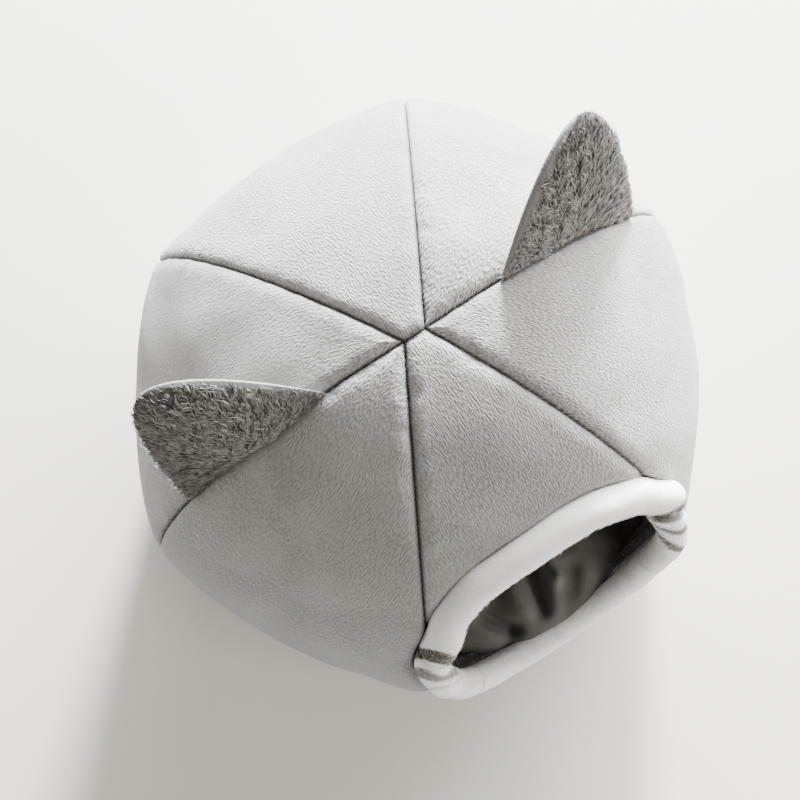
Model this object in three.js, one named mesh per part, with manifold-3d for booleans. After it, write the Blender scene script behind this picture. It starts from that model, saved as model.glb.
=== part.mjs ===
// A padded cloth cat house: six wedge panels sewn into a dome, a round doorway edged
// with a stuffed plush roll, two stuffed ears on the side seams, a base pad, a dark
// lining and a loose cushion inside.
//
// Millimetres, +Z up. The origin is on the floor under the middle of the dome, the
// doorway faces -Y, and the ears stand on the +X and -X seams.

import * as THREE from "three";
import { mergeVertices } from "three/addons/utils/BufferGeometryUtils.js";
import Module from "manifold-3d";

const wasm = await Module();
wasm.setup();

// Driving sizes of the dome
const RADIUS = 215; // middle to a seam, at the widest level
const HEIGHT = 320; // floor to the crown, ears left out
const WIDEST = 125; // height of the widest level
const BASE_SHARE = 0.82; // radius of the base seam, as a share of RADIUS
const WALL = 18; // foam between the face cloth and the lining
const BASE_PAD = 14; // thickness of the base pad
const GAP = 0.3; // between pieces that touch
const LINING = 2; // thickness of the lining cloth
const CROWN_SEAM = 15; // length of the cross seam at the crown
const SEAM_DEPTH = 5; // how far a seam is drawn in
const SEAM_WIDTH = 11; // how far from a seam the padding rolls down to it

// The seams, in order round the dome. angle is in degrees from +X, reach is the
// seam's own radius as a share of RADIUS, and side says at which end of the cross
// seam it starts: +1 for the +X end and -1 for the -X end.
const SEAMS = [
  { angle: 1.5, reach: 1.006, side: 1 },
  { angle: 59.3, reach: 1.01, side: 1 },
  { angle: 121.2, reach: 0.994, side: -1 },
  { angle: 178.5, reach: 1.017, side: -1 },
  { angle: 238.9, reach: 1.0, side: -1 },
  { angle: 298.9, reach: 0.983, side: 1 },
];

// One padded wedge between a seam and the next. bulge is how far the middle of the
// panel stands out past the straight line between its seams, as a share of RADIUS.
const PANELS = [
  { name: "panel_back_right", bulge: 0.085 },
  { name: "panel_back", bulge: 0.08 },
  { name: "panel_back_left", bulge: 0.072 },
  { name: "panel_left", bulge: 0.079 },
  { name: "panel_front", bulge: 0.081 },
  { name: "panel_right", bulge: 0.088 },
];
const FRONT = 4;
const SIDES_OF_DOOR = [3, 5];

// Steps across a panel, closer together where it rolls down to its seams, and across
// one side of the lining
const ACROSS = [0, 0.05, 0.14, 0.3, 0.5, 0.7, 0.86, 0.95, 1];
const LINING_ACROSS = [0, 0.14, 0.5, 0.86];
const UPPER_STEPS = 12; // crown to widest level
const LOWER_STEPS = 6; // widest level to base seam

// The doorway: the roll's centre line, seen from the front
const DOOR_MIDDLE = -5;
const DOOR_HALF_WIDTH = 94;
const DOOR_TOP = 260;
const DOOR_BOTTOM = 61;
const DOOR_TILT = 1.5; // degrees by which the +X side is higher
const DOOR_SQUARENESS = { top: 2.7, bottom: 2.1 }; // 2 is an ellipse, more is squarer
const ROLL_RADIUS = { top: 12.8, bottom: 12.2 };
const ROLL_INSET = { top: 3, bottom: -2 }; // its centre line below the face cloth
const ROLL_SIDES = 12;
const HIDDEN_BY_ROLL = 9; // from the roll's centre line to the cut edge of the panel
const DOOR_CUT = { from: 90, to: 250 }; // how far in front of the middle the cut runs
// Where round the doorway the white roll gives way to the striped cloth, in degrees
// from the +X side
const UPPER_ROLL = { from: 24, to: 156, steps: 24 };
const LOWER_ROLL = { from: 214, to: 326, steps: 20 };
const END_STEPS = 9;
const QUARTER_STEPS = 14; // of the cut that the roll makes, in each quarter of it

// The ears
const EAR = {
  inner: 0.275, // where the foot starts and ends on the seam, as shares of RADIUS
  outer: 0.785,
  height: 93, // from the straight line between the ends of the foot
  sink: 12, // how far the foot runs below that line
  skew: -0.09, // how far the tip lies towards the crown, as a share of half the foot
  taper: 0.57, // 1 gives straight sides to the tip, and less gives full ones
  leanBack: 32, // degrees from upright, towards the back
  frontDepth: 12, // pile and filling in front of the edge seam
  backDepth: 7,
  footDepth: 0.45, // its depth at the foot, as a share of the full depth
  fullFrom: 0.35, // share of the height from which it has its full depth
  thinnest: 0.8, // half the width of the very tip
};
const EAR_STEPS = 10;
const EAR_ACROSS = 10;
const EAR_CLEARANCE = 0.8; // under an ear, where it follows the crease of its seam

const radians = THREE.MathUtils.degToRad;
const lerp = THREE.MathUtils.lerp;

// A solid skinned over rings of points that all have the same even number of
// points. Each end is closed by a strip between the ring's first and second half.
function loft(rings) {
  const count = rings[0].length;
  const positions = rings.flat().flatMap((p) => [p.x, p.y, p.z]);
  const index = [];
  const quad = (a, b, c, d) => index.push(a, b, c, a, c, d);
  for (let r = 0; r + 1 < rings.length; r++)
    for (let i = 0; i < count; i++) {
      const next = (i + 1) % count;
      quad(r * count + i, r * count + next, (r + 1) * count + next, (r + 1) * count + i);
    }
  const last = (rings.length - 1) * count;
  for (let i = 0; i + 1 < count / 2; i++) {
    const far = count - 1 - i;
    quad(i, far, far - 1, i + 1);
    quad(last + i, last + i + 1, last + far - 1, last + far);
  }
  const geometry = new THREE.BufferGeometry();
  geometry.setAttribute("position", new THREE.Float32BufferAttribute(positions, 3));
  geometry.setIndex(volumeOf(positions, index) > 0 ? index : index.reverse());
  return geometry;
}

// Six times the volume inside a closed mesh, less than nothing if it faces inwards
function volumeOf(positions, index) {
  const corner = (i) => new THREE.Vector3().fromArray(positions, 3 * index[i]);
  let sum = 0;
  for (let i = 0; i < index.length; i += 3)
    sum += corner(i).dot(corner(i + 1).cross(corner(i + 2)));
  return sum;
}

// A geometry as a manifold-3d solid
function solid(geometry) {
  const bare = geometry.clone();
  bare.deleteAttribute("normal");
  bare.deleteAttribute("uv");
  const merged = mergeVertices(bare, 1e-4);
  return new wasm.Manifold(
    new wasm.Mesh({
      numProp: 3,
      vertProperties: merged.attributes.position.array,
      triVerts: new Uint32Array(merged.index.array),
    }),
  );
}

// The separate parts of a manifold-3d solid, the largest first
function partsOf(made) {
  return made.decompose().sort((a, b) => b.volume() - a.volume());
}

// A manifold-3d solid's largest part, as a geometry: cuts can leave crumbs
function geometryOf(made) {
  const mesh = partsOf(made)[0].getMesh();
  const geometry = new THREE.BufferGeometry();
  geometry.setAttribute("position", new THREE.Float32BufferAttribute(mesh.vertProperties, 3));
  geometry.setIndex([...mesh.triVerts]);
  return geometry;
}

// The seams' foot points in plan, as a share of RADIUS
function seamFoot(k) {
  const seam = SEAMS[k % SEAMS.length];
  const a = radians(seam.angle);
  return new THREE.Vector2(Math.cos(a), Math.sin(a)).multiplyScalar(seam.reach);
}

// Where a seam leaves the cross seam, in mm
function seamStart(k) {
  return new THREE.Vector2((SEAMS[k % SEAMS.length].side * CROWN_SEAM) / 2, 0);
}

// The dome's profile. station runs from 0 at the crown over 1 at the widest level
// to 2 at the base seam, and depth is how far in from the face the surface lies.
// Above the widest level it is a quarter ellipse, and below it another, which turns
// under to the base seam.
function profile(station, depth) {
  const widest = RADIUS - depth;
  if (station <= 1) {
    const u = (1 - station) * (Math.PI / 2);
    return {
      reach: widest * Math.cos(u),
      z: WIDEST + (HEIGHT - depth - WIDEST) * Math.sin(u),
    };
  }
  const w = station - 1;
  const foot = RADIUS * BASE_SHARE;
  const lowest = Math.max(depth, 0) * (BASE_PAD / WALL);
  return {
    reach: widest - (widest - foot) * (1 - Math.sqrt(1 - w * w)),
    z: lerp(WIDEST, lowest, w),
  };
}

// The station at which the face cloth is at height z
function stationAt(z) {
  if (z >= WIDEST)
    return 1 - Math.asin((z - WIDEST) / (HEIGHT - WIDEST)) / (Math.PI / 2);
  return 1 + (WIDEST - z) / WIDEST;
}

// A point of panel k. across runs from 0 at its first seam to 1 at its next.
function domePoint(k, across, station, depth) {
  const a = seamFoot(k);
  const b = seamFoot(k + 1);
  const out = a.clone().add(b).normalize();
  const plan = a.lerp(b, across);
  plan.addScaledVector(out, PANELS[k].bulge * 4 * across * (1 - across));
  const start = seamStart(k).lerp(seamStart(k + 1), across);
  const { reach, z } = profile(station, depth);
  const share = Math.min(reach / RADIUS, 1);
  plan.multiplyScalar(reach).addScaledVector(start, 1 - share);
  return new THREE.Vector3(plan.x, plan.y, z);
}

// How far the padding is drawn in at a distance from its seam
function drawnIn(distance) {
  const s = Math.min(distance / SEAM_WIDTH, 1);
  return SEAM_DEPTH * (1 - Math.sqrt(1 - (1 - s) ** 2));
}

// The stations of a panel's rings, from a little off the crown to the base seam
function stations(first) {
  const list = [];
  for (let i = 0; i < UPPER_STEPS; i++)
    list.push(lerp(first, 1, (i / UPPER_STEPS) ** 0.85));
  for (let i = 0; i <= LOWER_STEPS; i++)
    list.push(1 + Math.sin(((i / LOWER_STEPS) * Math.PI) / 2));
  return list;
}

// One panel's ring: its face from seam to seam, then its lining side back again.
// Its two edges stand half a gap in from the seams.
function panelRing(k, station) {
  const left = domePoint(k, 0, station, 0);
  const right = domePoint(k, 1, station, 0);
  const width = left.distanceTo(right);
  const along = right.clone().sub(left).setZ(0).normalize();
  const edge = (point, across) =>
    point.addScaledVector(along, (GAP / 2 + 0.05) * (1 - 2 * across));
  const fromTip = profile(station, 0).reach;
  const face = ACROSS.map((t) => {
    const distance = Math.min(t * width, (1 - t) * width, fromTip);
    return edge(domePoint(k, t, station, drawnIn(distance)), t);
  });
  const lining = ACROSS.map((t) => edge(domePoint(k, t, station, WALL), t));
  return [...face, ...lining.reverse()];
}

// The station at which a panel starts. A pointed tip is cut off before its two edges
// cross, and one that ends on the cross seam runs up to it.
const POINTED_TIP = 0.0045;
const WIDE_TIP = 0.0015;

function panel(k) {
  const wide = SEAMS[k].side !== SEAMS[(k + 1) % SEAMS.length].side;
  return loft(stations(wide ? WIDE_TIP : POINTED_TIP).map((s) => panelRing(k, s)));
}

// The whole dome as one closed body, from a ring of points at each station
function dome(across, pointAt) {
  const rings = stations(POINTED_TIP).map((station) =>
    SEAMS.flatMap((_, k) => across.map((t) => pointAt(k, t, station))),
  );
  return loft(rings);
}

// The space inside the panels, with a gap of its own from them and from the base pad
function inside(gap) {
  const floor = BASE_PAD + gap;
  return dome(LINING_ACROSS, (k, t, station) => {
    const point = domePoint(k, t, station, WALL + gap);
    return point.setZ(Math.max(point.z, floor));
  });
}

// The panels' faces with their creased seams, grown by a gap
function outside(gap) {
  return dome(ACROSS.slice(0, -1), (k, t, station) => {
    const width = domePoint(k, 0, station, 0).distanceTo(domePoint(k, 1, station, 0));
    return domePoint(k, t, station, drawnIn(Math.min(t, 1 - t) * width) - gap);
  });
}

// The roll's centre line at an angle round the doorway, seen from the front, or a
// line that lies outside it by grow
function doorPlan(degrees, grow = 0) {
  const a = radians(degrees);
  const power = 2 / (a > Math.PI || a < 0 ? DOOR_SQUARENESS.bottom : DOOR_SQUARENESS.top);
  const x = Math.sign(Math.cos(a)) * Math.abs(Math.cos(a)) ** power;
  const z = Math.sign(Math.sin(a)) * Math.abs(Math.sin(a)) ** power;
  const halfHeight = (DOOR_TOP - DOOR_BOTTOM) / 2;
  const centre = new THREE.Vector2(DOOR_MIDDLE, DOOR_BOTTOM + halfHeight);
  return new THREE.Vector2(x * (DOOR_HALF_WIDTH + grow), z * (halfHeight + grow))
    .add(centre)
    .rotateAround(centre, radians(DOOR_TILT));
}

// A size of the roll at height z, from its values at the door's top and bottom
function rollSize({ top, bottom }, z) {
  return lerp(bottom, top, (z - DOOR_BOTTOM) / (DOOR_TOP - DOOR_BOTTOM));
}

// A point of the roll's centre line in space, sunk into the front panel's face
function doorPoint(degrees) {
  const plan = doorPlan(degrees);
  const station = stationAt(plan.y);
  const inset = rollSize(ROLL_INSET, plan.y);
  let low = -0.2;
  let high = 1.2;
  for (let i = 0; i < 40; i++) {
    const middle = (low + high) / 2;
    if (domePoint(FRONT, middle, station, inset).x < plan.x) low = middle;
    else high = middle;
  }
  return domePoint(FRONT, low, station, inset).setZ(plan.y);
}

// A stuffed roll round part of the doorway. swell is added to its radius.
function roll(from, to, steps, swell = 0) {
  const rings = [];
  for (let i = 0; i <= steps; i++) {
    const degrees = lerp(from, to, i / steps);
    const middle = doorPoint(degrees);
    const along = doorPoint(degrees + 0.5).sub(doorPoint(degrees - 0.5)).normalize();
    const side = new THREE.Vector3().crossVectors(along, middle).normalize();
    const up = new THREE.Vector3().crossVectors(side, along);
    const radius = rollSize(ROLL_RADIUS, middle.z) + swell;
    const ring = [];
    for (let j = 0; j < ROLL_SIDES; j++) {
      const a = ((j + 0.5) / ROLL_SIDES) * Math.PI * 2;
      const around = side.clone().multiplyScalar(Math.cos(a)).addScaledVector(up, Math.sin(a));
      ring.push(around.multiplyScalar(radius).add(middle));
    }
    rings.push(ring);
  }
  return loft(rings);
}

// What is cut away for the doorway: everything inside a line that the roll hides, and
// the roll itself with a gap round it
function doorway() {
  const outline = new THREE.Shape();
  for (let a = 0; a < 360; a += 10) {
    const p = doorPlan(a, HIDDEN_BY_ROLL);
    if (a === 0) outline.moveTo(p.x, p.y);
    else outline.lineTo(p.x, p.y);
  }
  outline.closePath();
  const depth = DOOR_CUT.to - DOOR_CUT.from;
  const through = new THREE.ExtrudeGeometry(outline, { depth, bevelEnabled: false });
  through.rotateX(Math.PI / 2).translate(0, -DOOR_CUT.from, 0);
  const overlap = 2;
  const quarters = [0, 90, 180, 270].map((from) =>
    solid(roll(from, from + 90 + overlap, QUARTER_STEPS, 2 * GAP)),
  );
  return quarters.reduce((cut, quarter) => cut.add(quarter), solid(through));
}

// Half of a stuffed ear. side is +1 for the one on the +X seam, and front says
// whether it is the plush half in front of the edge seam or the smooth half behind.
// Its outline is a triangle with full sides and a round tip, and each section is
// half of a lens.
function earHalf(side, front) {
  const seam = side > 0 ? 0 : 3;
  const at = (share) => {
    const station = 1 - Math.acos(share) / (Math.PI / 2);
    return domePoint(seam, 0, station, 0);
  };
  const inner = at(EAR.inner);
  const outer = at(EAR.outer);
  const foot = inner.clone().add(outer).multiplyScalar(0.5);
  const along = outer.clone().sub(inner);
  const halfWidth = along.length() / 2;
  along.normalize();
  const back = new THREE.Vector3(0, 1, 0);
  const upright = new THREE.Vector3().crossVectors(along, back).multiplyScalar(side);
  if (upright.z < 0) upright.negate();
  const lean = radians(EAR.leanBack);
  const rise = upright.clone().applyAxisAngle(along, -side * lean);
  const facing = back.clone().negate().applyAxisAngle(along, -side * lean);
  const depth = front ? EAR.frontDepth : -EAR.backDepth;
  const split = front ? GAP / 2 : -GAP / 2;
  const ringAt = (up, s) => {
    const reach = Math.max(halfWidth * (1 - s) ** EAR.taper, EAR.thinnest);
    const filled = Math.min(lerp(EAR.footDepth, 1, s / EAR.fullFrom), Math.sqrt(1 - s * s));
    const thick = depth * Math.max(filled, EAR.thinnest / EAR.frontDepth);
    const section = [];
    for (let j = 0; j <= EAR_ACROSS; j++) {
      const a = Math.PI * (1 - j / EAR_ACROSS);
      const x = reach * Math.cos(a) + EAR.skew * s * halfWidth;
      section.push([x, split + thick * Math.abs(Math.sin(a))]);
    }
    const flat = section.slice(1, -1).map(([x]) => [x, split]);
    return [...section, ...flat.reverse()].map(([x, y]) =>
      foot.clone().addScaledVector(along, x).addScaledVector(rise, up).addScaledVector(facing, y),
    );
  };
  const rings = [ringAt(-EAR.sink, 0)];
  for (let i = 0; i <= EAR_STEPS; i++) {
    const s = Math.sin(((i / EAR_STEPS) * Math.PI) / 2);
    rings.push(ringAt(EAR.height * s, s));
  }
  return loft(rings);
}

// The base pad, which the house stands on
function basePad() {
  const ringAt = (inset, z) => {
    const ring = [];
    for (let k = 0; k < SEAMS.length; k++)
      for (const t of ACROSS.slice(0, -1)) {
        const p = domePoint(k, t, 2, 0);
        const shrink = 1 - (inset + GAP) / Math.hypot(p.x, p.y);
        ring.push(new THREE.Vector3(p.x * shrink, p.y * shrink, z));
      }
    return ring;
  };
  return loft([ringAt(2, 0), ringAt(0, 2), ringAt(0, BASE_PAD - 2), ringAt(2, BASE_PAD)]);
}

// The folds of the loose cushion. Each is a soft ridge (or a trough, if its height
// is negative) from one point to another, in plan.
const FOLDS = [
  { from: [-86, -158], to: [-38, -174], height: 8, width: 11 },
  { from: [-60, -146], to: [-24, -178], height: -9, width: 9 },
  { from: [4, -136], to: [-26, -172], height: -4, width: 10 },
  { from: [34, -132], to: [-10, -180], height: 9, width: 10 },
  { from: [58, -146], to: [26, -180], height: -5, width: 13 },
  { from: [76, -128], to: [66, -168], height: 5, width: 12 },
];

function foldHeight(x, y) {
  const point = new THREE.Vector2(x, y);
  return FOLDS.reduce((sum, fold) => {
    const from = new THREE.Vector2(...fold.from);
    const along = new THREE.Vector2(...fold.to).sub(from);
    const t = point.clone().sub(from).dot(along) / along.lengthSq();
    from.addScaledVector(along, THREE.MathUtils.clamp(t, 0, 1));
    return sum + fold.height * Math.exp(-((point.distanceTo(from) / fold.width) ** 2));
  }, 0);
}

// The cushion: a filled pad that follows the six-sided wall, with a flat underside,
// full sides and a crowned top. reach is a share of CUSHION_REACH, and loose says how
// far the folds show at that ring.
const CUSHION_REACH = 189;
const CUSHION_STEPS = 12; // across each of the six sides
const CUSHION_RINGS = [
  { reach: 0.89, z: 17, loose: 0 },
  { reach: 0.96, z: 26, loose: 0 },
  { reach: 0.98, z: 44, loose: 0 },
  { reach: 0.98, z: 60, loose: 0.4 },
  { reach: 0.955, z: 71, loose: 0.8 },
  { reach: 0.91, z: 77, loose: 1 },
  { reach: 0.86, z: 80, loose: 1 },
  { reach: 0.8, z: 82, loose: 1 },
  { reach: 0.72, z: 84, loose: 1 },
  { reach: 0.6, z: 86, loose: 1 },
  { reach: 0.4, z: 88, loose: 1 },
  { reach: 0.15, z: 89, loose: 1 },
];

function cushion() {
  const rings = CUSHION_RINGS.map(({ reach, z, loose }) =>
    SEAMS.flatMap((_, k) =>
      Array.from({ length: CUSHION_STEPS }, (_, i) => {
        const point = domePoint(k, i / CUSHION_STEPS, 1, 0);
        point.multiplyScalar((reach * CUSHION_REACH) / RADIUS);
        return point.setZ(z + loose * foldHeight(point.x, point.y));
      }),
    ),
  );
  return loft(rings);
}

const COLOURS = {
  velvet: { color: 0xc9c8c6, roughness: 0.85 },
  plush: { color: 0x8b8782, roughness: 0.95 },
  white: { color: 0xf1efec, roughness: 0.95 },
  striped: { color: 0xdedad4, roughness: 0.95 },
  lining: { color: 0x55524f, roughness: 0.9 },
};
const material = (name) => new THREE.MeshStandardMaterial({ ...COLOURS[name], metalness: 0 });

const house = new THREE.Group();
function add(name, geometry, cloth) {
  const mesh = new THREE.Mesh(geometry, material(cloth));
  mesh.name = name;
  house.add(mesh);
}

// The panels. The front one is cut in two by the doorway, into the part over it and
// the sill under it, and the ones beside it are notched by the roll.
const door = doorway();
PANELS.forEach(({ name }, k) => {
  if (k === FRONT) return;
  const notched = SIDES_OF_DOOR.includes(k);
  add(name, notched ? geometryOf(solid(panel(k)).subtract(door)) : panel(k), "velvet");
});
const [overDoor, sill] = partsOf(solid(panel(FRONT)).subtract(door))
  .slice(0, 2)
  .sort((a, b) => b.boundingBox().max[2] - a.boundingBox().max[2]);
add(PANELS[FRONT].name, geometryOf(overDoor), "velvet");
add("panel_sill", geometryOf(sill), "velvet");

add("base_pad", basePad(), "velvet");

// The lining is a thin sack inside the panels, open at the doorway
const lining = solid(inside(2 * GAP))
  .subtract(solid(inside(2 * GAP + LINING)))
  .subtract(door);
add("lining", geometryOf(lining), "lining");
add("cushion", cushion(), "lining");

// The roll round the doorway: white above and below, striped at both sides
const join = 0.12; // degrees left free at each end of a piece of the roll
const rolls = [
  ["roll_upper", UPPER_ROLL.from, UPPER_ROLL.to, UPPER_ROLL.steps, "white"],
  ["roll_end_left", UPPER_ROLL.to, LOWER_ROLL.from, END_STEPS, "striped"],
  ["roll_lower", LOWER_ROLL.from, LOWER_ROLL.to, LOWER_ROLL.steps, "white"],
  ["roll_end_right", LOWER_ROLL.to - 360, UPPER_ROLL.from, END_STEPS, "striped"],
];
for (const [name, from, to, steps, cloth] of rolls)
  add(name, roll(from + join, to - join, steps), cloth);

// The ears, whose feet follow the crease of the seam that they stand on
const underEars = solid(outside(EAR_CLEARANCE));
for (const [word, side] of [
  ["left", -1],
  ["right", 1],
])
  for (const [half, front, cloth] of [
    ["front", true, "plush"],
    ["back", false, "velvet"],
  ]) {
    const ear = solid(earHalf(side, front)).subtract(underEars);
    add(`ear_${word}_${half}`, geometryOf(ear), cloth);
  }

export default house;
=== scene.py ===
"""Looks of a padded cat house: six velvet wedges sewn into a dome, a doorway edged with a plush
roll, two plush ears, a base pad, a dark lining and a loose cushion.

Metres, +Z up. The doorway faces -Y, the ears stand on the +X and -X seams, and the origin is on
the floor under the middle of the dome."""

from collections import namedtuple

import bpy
import numpy as np
from mathutils import Matrix


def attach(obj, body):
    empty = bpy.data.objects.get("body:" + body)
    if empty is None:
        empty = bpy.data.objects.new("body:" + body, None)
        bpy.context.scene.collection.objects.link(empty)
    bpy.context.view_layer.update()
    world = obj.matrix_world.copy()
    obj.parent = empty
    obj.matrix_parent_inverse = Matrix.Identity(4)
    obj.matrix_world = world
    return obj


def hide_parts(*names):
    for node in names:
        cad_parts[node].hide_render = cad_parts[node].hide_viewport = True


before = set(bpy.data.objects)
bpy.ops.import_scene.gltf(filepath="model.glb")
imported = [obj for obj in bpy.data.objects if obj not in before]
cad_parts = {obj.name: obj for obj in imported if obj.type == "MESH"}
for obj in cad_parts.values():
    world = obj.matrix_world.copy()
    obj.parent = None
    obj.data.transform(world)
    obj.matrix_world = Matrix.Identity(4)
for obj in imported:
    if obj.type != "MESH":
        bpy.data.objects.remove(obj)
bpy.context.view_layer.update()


# The camera looks down on the house from in front and a little to the left, as someone who
# stands over it does. Its place was fitted to the seams and the outline of the dome.
AIM = np.array([-0.0165, -0.0017, 0.160])
CAMERA = {"azimuth": -25.6, "elevation": 79.18, "roll": -7.83, "distance": 1.063}
LENS_MM, SENSOR_MM = 67.5, 36.0


def axes_from(azimuth, elevation, roll=0.0):
    """Right, up and back as the columns of a matrix. back = (sin a cos e, -cos a cos e, sin e)
    points from what is looked at to the eye, and the roll turns right and up about it."""
    a, e, r = np.radians([azimuth, elevation, roll])
    back = np.array([np.sin(a) * np.cos(e), -np.cos(a) * np.cos(e), np.sin(e)])
    level = np.array([np.cos(a), np.sin(a), 0.0])
    right = np.cos(r) * level + np.sin(r) * np.cross(back, level)
    return np.column_stack([right, np.cross(back, right), back])


def point_at(thing, aim, azimuth, elevation, distance, roll=0.0):
    """Puts a camera or a lamp at aim + back * distance, looking at aim."""
    matrix = np.eye(4)
    matrix[:3, :3] = axes_from(azimuth, elevation, roll)
    matrix[:3, 3] = aim + matrix[:3, 2] * distance
    thing.matrix_world = Matrix(matrix.tolist())


camera_data = bpy.data.cameras.new("camera")
camera_data.lens = LENS_MM
camera_data.sensor_width = SENSOR_MM
camera = bpy.data.objects.new("camera", camera_data)
bpy.context.scene.collection.objects.link(camera)
point_at(camera, AIM, **CAMERA)
bpy.context.scene.camera = camera


# The studio: a plain pale floor, a soft key light low behind on the right, where the daylight
# comes from, two broad ones beside it, two weak warm ones on the left and in front, and a pale
# warm sky all round.
FLOOR_HALF = 4.0
FLOOR_COLOUR, FLOOR_PATCHES = (0.90, 0.87, 0.83), 0.95
SKY_COLOUR, SKY_STRENGTH = (1.0, 0.93, 0.84), 0.40
# name, azimuth and elevation in degrees, distance, size across, power in watts and colour
LAMPS = (("key", 138.0, 14.0, 2.6, 0.42, 580.0, (0.97, 0.985, 1.0)),
         ("broad", 136.0, 7.0, 2.7, 2.20, 240.0, (0.97, 0.985, 1.0)),
         ("right", 112.0, 10.0, 2.7, 2.40, 440.0, (0.99, 0.995, 1.0)),
         ("left", 240.0, 12.0, 2.7, 1.80, 10.0, (1.0, 0.95, 0.88)),
         ("front", 28.0, 30.0, 2.7, 1.60, 46.0, (1.0, 0.955, 0.89)))


def feed(tree, socket, value):
    """Links a socket to another node's output, or sets it to a value. A colour gets its alpha."""
    if isinstance(value, bpy.types.NodeSocket):
        tree.links.new(value, socket)
    else:
        socket.default_value = (*value, 1.0) if socket.type == "RGBA" else value


def node(tree, kind, inputs=None, **settings):
    """A new node of that kind, with its settings. Each input is a value or another's output."""
    made = tree.nodes.new(kind)
    for name, value in settings.items():
        setattr(made, name, value)
    for name, value in (inputs or {}).items():
        feed(tree, made.inputs[name], value)
    return made


def blended(tree, share, first, second):
    """The colour (1 - share) first + share second."""
    return node(tree, "ShaderNodeMix", {0: share, 6: first, 7: second}, data_type="RGBA").outputs[2]


def noise(tree, place, scale, detail, distortion=0.0):
    """Cloudy noise around 0.5, with scale cells for each unit of the place."""
    inputs = {"Vector": place, "Scale": scale, "Detail": detail, "Distortion": distortion}
    return node(tree, "ShaderNodeTexNoise", inputs).outputs[0]


def shade(tint, share):
    """A colour made darker or lighter by share."""
    return tuple(share * c for c in tint)


def new_material(name):
    """An empty node material, with its tree and its output's surface socket."""
    material = bpy.data.materials.new(name)
    material.use_nodes = True
    material.node_tree.nodes.clear()
    output = material.node_tree.nodes.new("ShaderNodeOutputMaterial")
    return material, material.node_tree, output.inputs["Surface"]


def floor_material():
    """A pale matt floor, a little lighter and darker in wide soft patches."""
    material, tree, surface = new_material("pale_floor")
    patches = noise(tree, node(tree, "ShaderNodeTexCoord").outputs["Object"], 3.0, 2.0)
    colour = blended(tree, patches, FLOOR_COLOUR, shade(FLOOR_COLOUR, FLOOR_PATCHES))
    shader = node(tree, "ShaderNodeBsdfPrincipled", {"Base Color": colour, "Roughness": 0.9})
    tree.links.new(shader.outputs[0], surface)
    return material


def put_mesh(name, points, faces, material, uv=None, sharp_above=40.0, painted_shade=None):
    """A smooth mesh object from points and a list of face arrays, each of one corner count. uv
    holds a pair for each point, and the last argument how much painted shade each point gets, as
    a point attribute. Edges that bend by more than sharp_above degrees stay sharp."""
    corners = np.concatenate([f.ravel() for f in faces]).astype(np.int32)
    counts = np.concatenate([np.full(len(f), f.shape[1]) for f in faces])
    mesh = bpy.data.meshes.new(name)
    mesh.vertices.add(len(points))
    mesh.vertices.foreach_set("co", np.asarray(points, np.float32).ravel())
    mesh.loops.add(len(corners))
    mesh.loops.foreach_set("vertex_index", corners)
    mesh.polygons.add(len(counts))
    mesh.polygons.foreach_set("loop_start", np.cumsum(counts) - counts)
    if uv is not None:
        layer = mesh.uv_layers.new(name="UVMap")
        layer.data.foreach_set("uv", np.asarray(uv, np.float32)[corners].ravel())
    if painted_shade is not None:
        mesh.attributes.new("painted_shade", "FLOAT", "POINT").data.foreach_set("value", painted_shade)
    mesh.update(calc_edges=True)
    mesh.validate()
    mesh.shade_smooth()
    mesh.set_sharp_from_angle(angle=np.radians(sharp_above))
    mesh.materials.append(material)
    piece = bpy.data.objects.new(name, mesh)
    bpy.context.scene.collection.objects.link(piece)
    return piece


floor_corners = FLOOR_HALF * np.array([[-1, -1, 0], [1, -1, 0], [1, 1, 0], [-1, 1, 0]])
floor = put_mesh("floor", floor_corners, [np.array([[0, 1, 2, 3]])], floor_material())

for lamp_name, azimuth, elevation, distance, size, power, colour in LAMPS:
    lamp = bpy.data.lights.new(lamp_name, "AREA")
    lamp.shape = "DISK"
    lamp.size = size
    lamp.energy = power
    lamp.color = colour
    lamp_object = bpy.data.objects.new(lamp_name, lamp)
    bpy.context.scene.collection.objects.link(lamp_object)
    point_at(lamp_object, AIM, azimuth, elevation, distance)

world = bpy.data.worlds.new("studio")
bpy.context.scene.world = world
world.use_nodes = True
sky = world.node_tree.nodes["Background"].inputs
feed(world.node_tree, sky["Color"], SKY_COLOUR)
feed(world.node_tree, sky["Strength"], SKY_STRENGTH)


# The dome: six wedge panels of pale grey velvet over 18 mm of foam, sewn to each other along
# seams that meet in a short cross seam at the crown. The velvet's short pile lies another way
# on each panel, and the padding rolls down to the seams with small puckers beside them.
RADIUS, HEIGHT, WIDEST = 0.215, 0.320, 0.125
BASE_SHARE = 0.82  # radius of the base seam, as a share of RADIUS
WALL, BASE_THICK, GAP = 0.018, 0.014, 0.0003
EDGE_IN = GAP / 2 + 0.00005  # from a seam to the edge of each panel beside it
CROWN_SEAM = 0.015
# the seam's drawn-in depth and width, and the width of the dark line painted along it as shade
SEAM_DEPTH, SEAM_WIDTH, SEAM_SHADE_WIDTH = 0.0055, 0.011, 0.0012
LUMP_HEIGHT, LUMP_LENGTHS = 0.0009, (0.05, 0.14)  # of the soft lumps over the foam
LEVEL_FOOT, LEVEL_SEAM = 0.35, 0.03  # stations and metres over which the lumps fade out
PUCKER_HEIGHT, PUCKER_LENGTHS = 0.00045, (0.008, 0.022)
PUCKER_MIDDLE, PUCKER_WIDTH = 0.004, 0.006  # from the seam
WAVE_COUNT = 16
# angle from +X in degrees, radius as a share of RADIUS, and end of the cross seam
SEAMS = ((1.5, 1.006, 1), (59.3, 1.01, 1), (121.2, 0.994, -1),
         (178.5, 1.017, -1), (238.9, 1.0, -1), (298.9, 0.983, 1))
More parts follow.
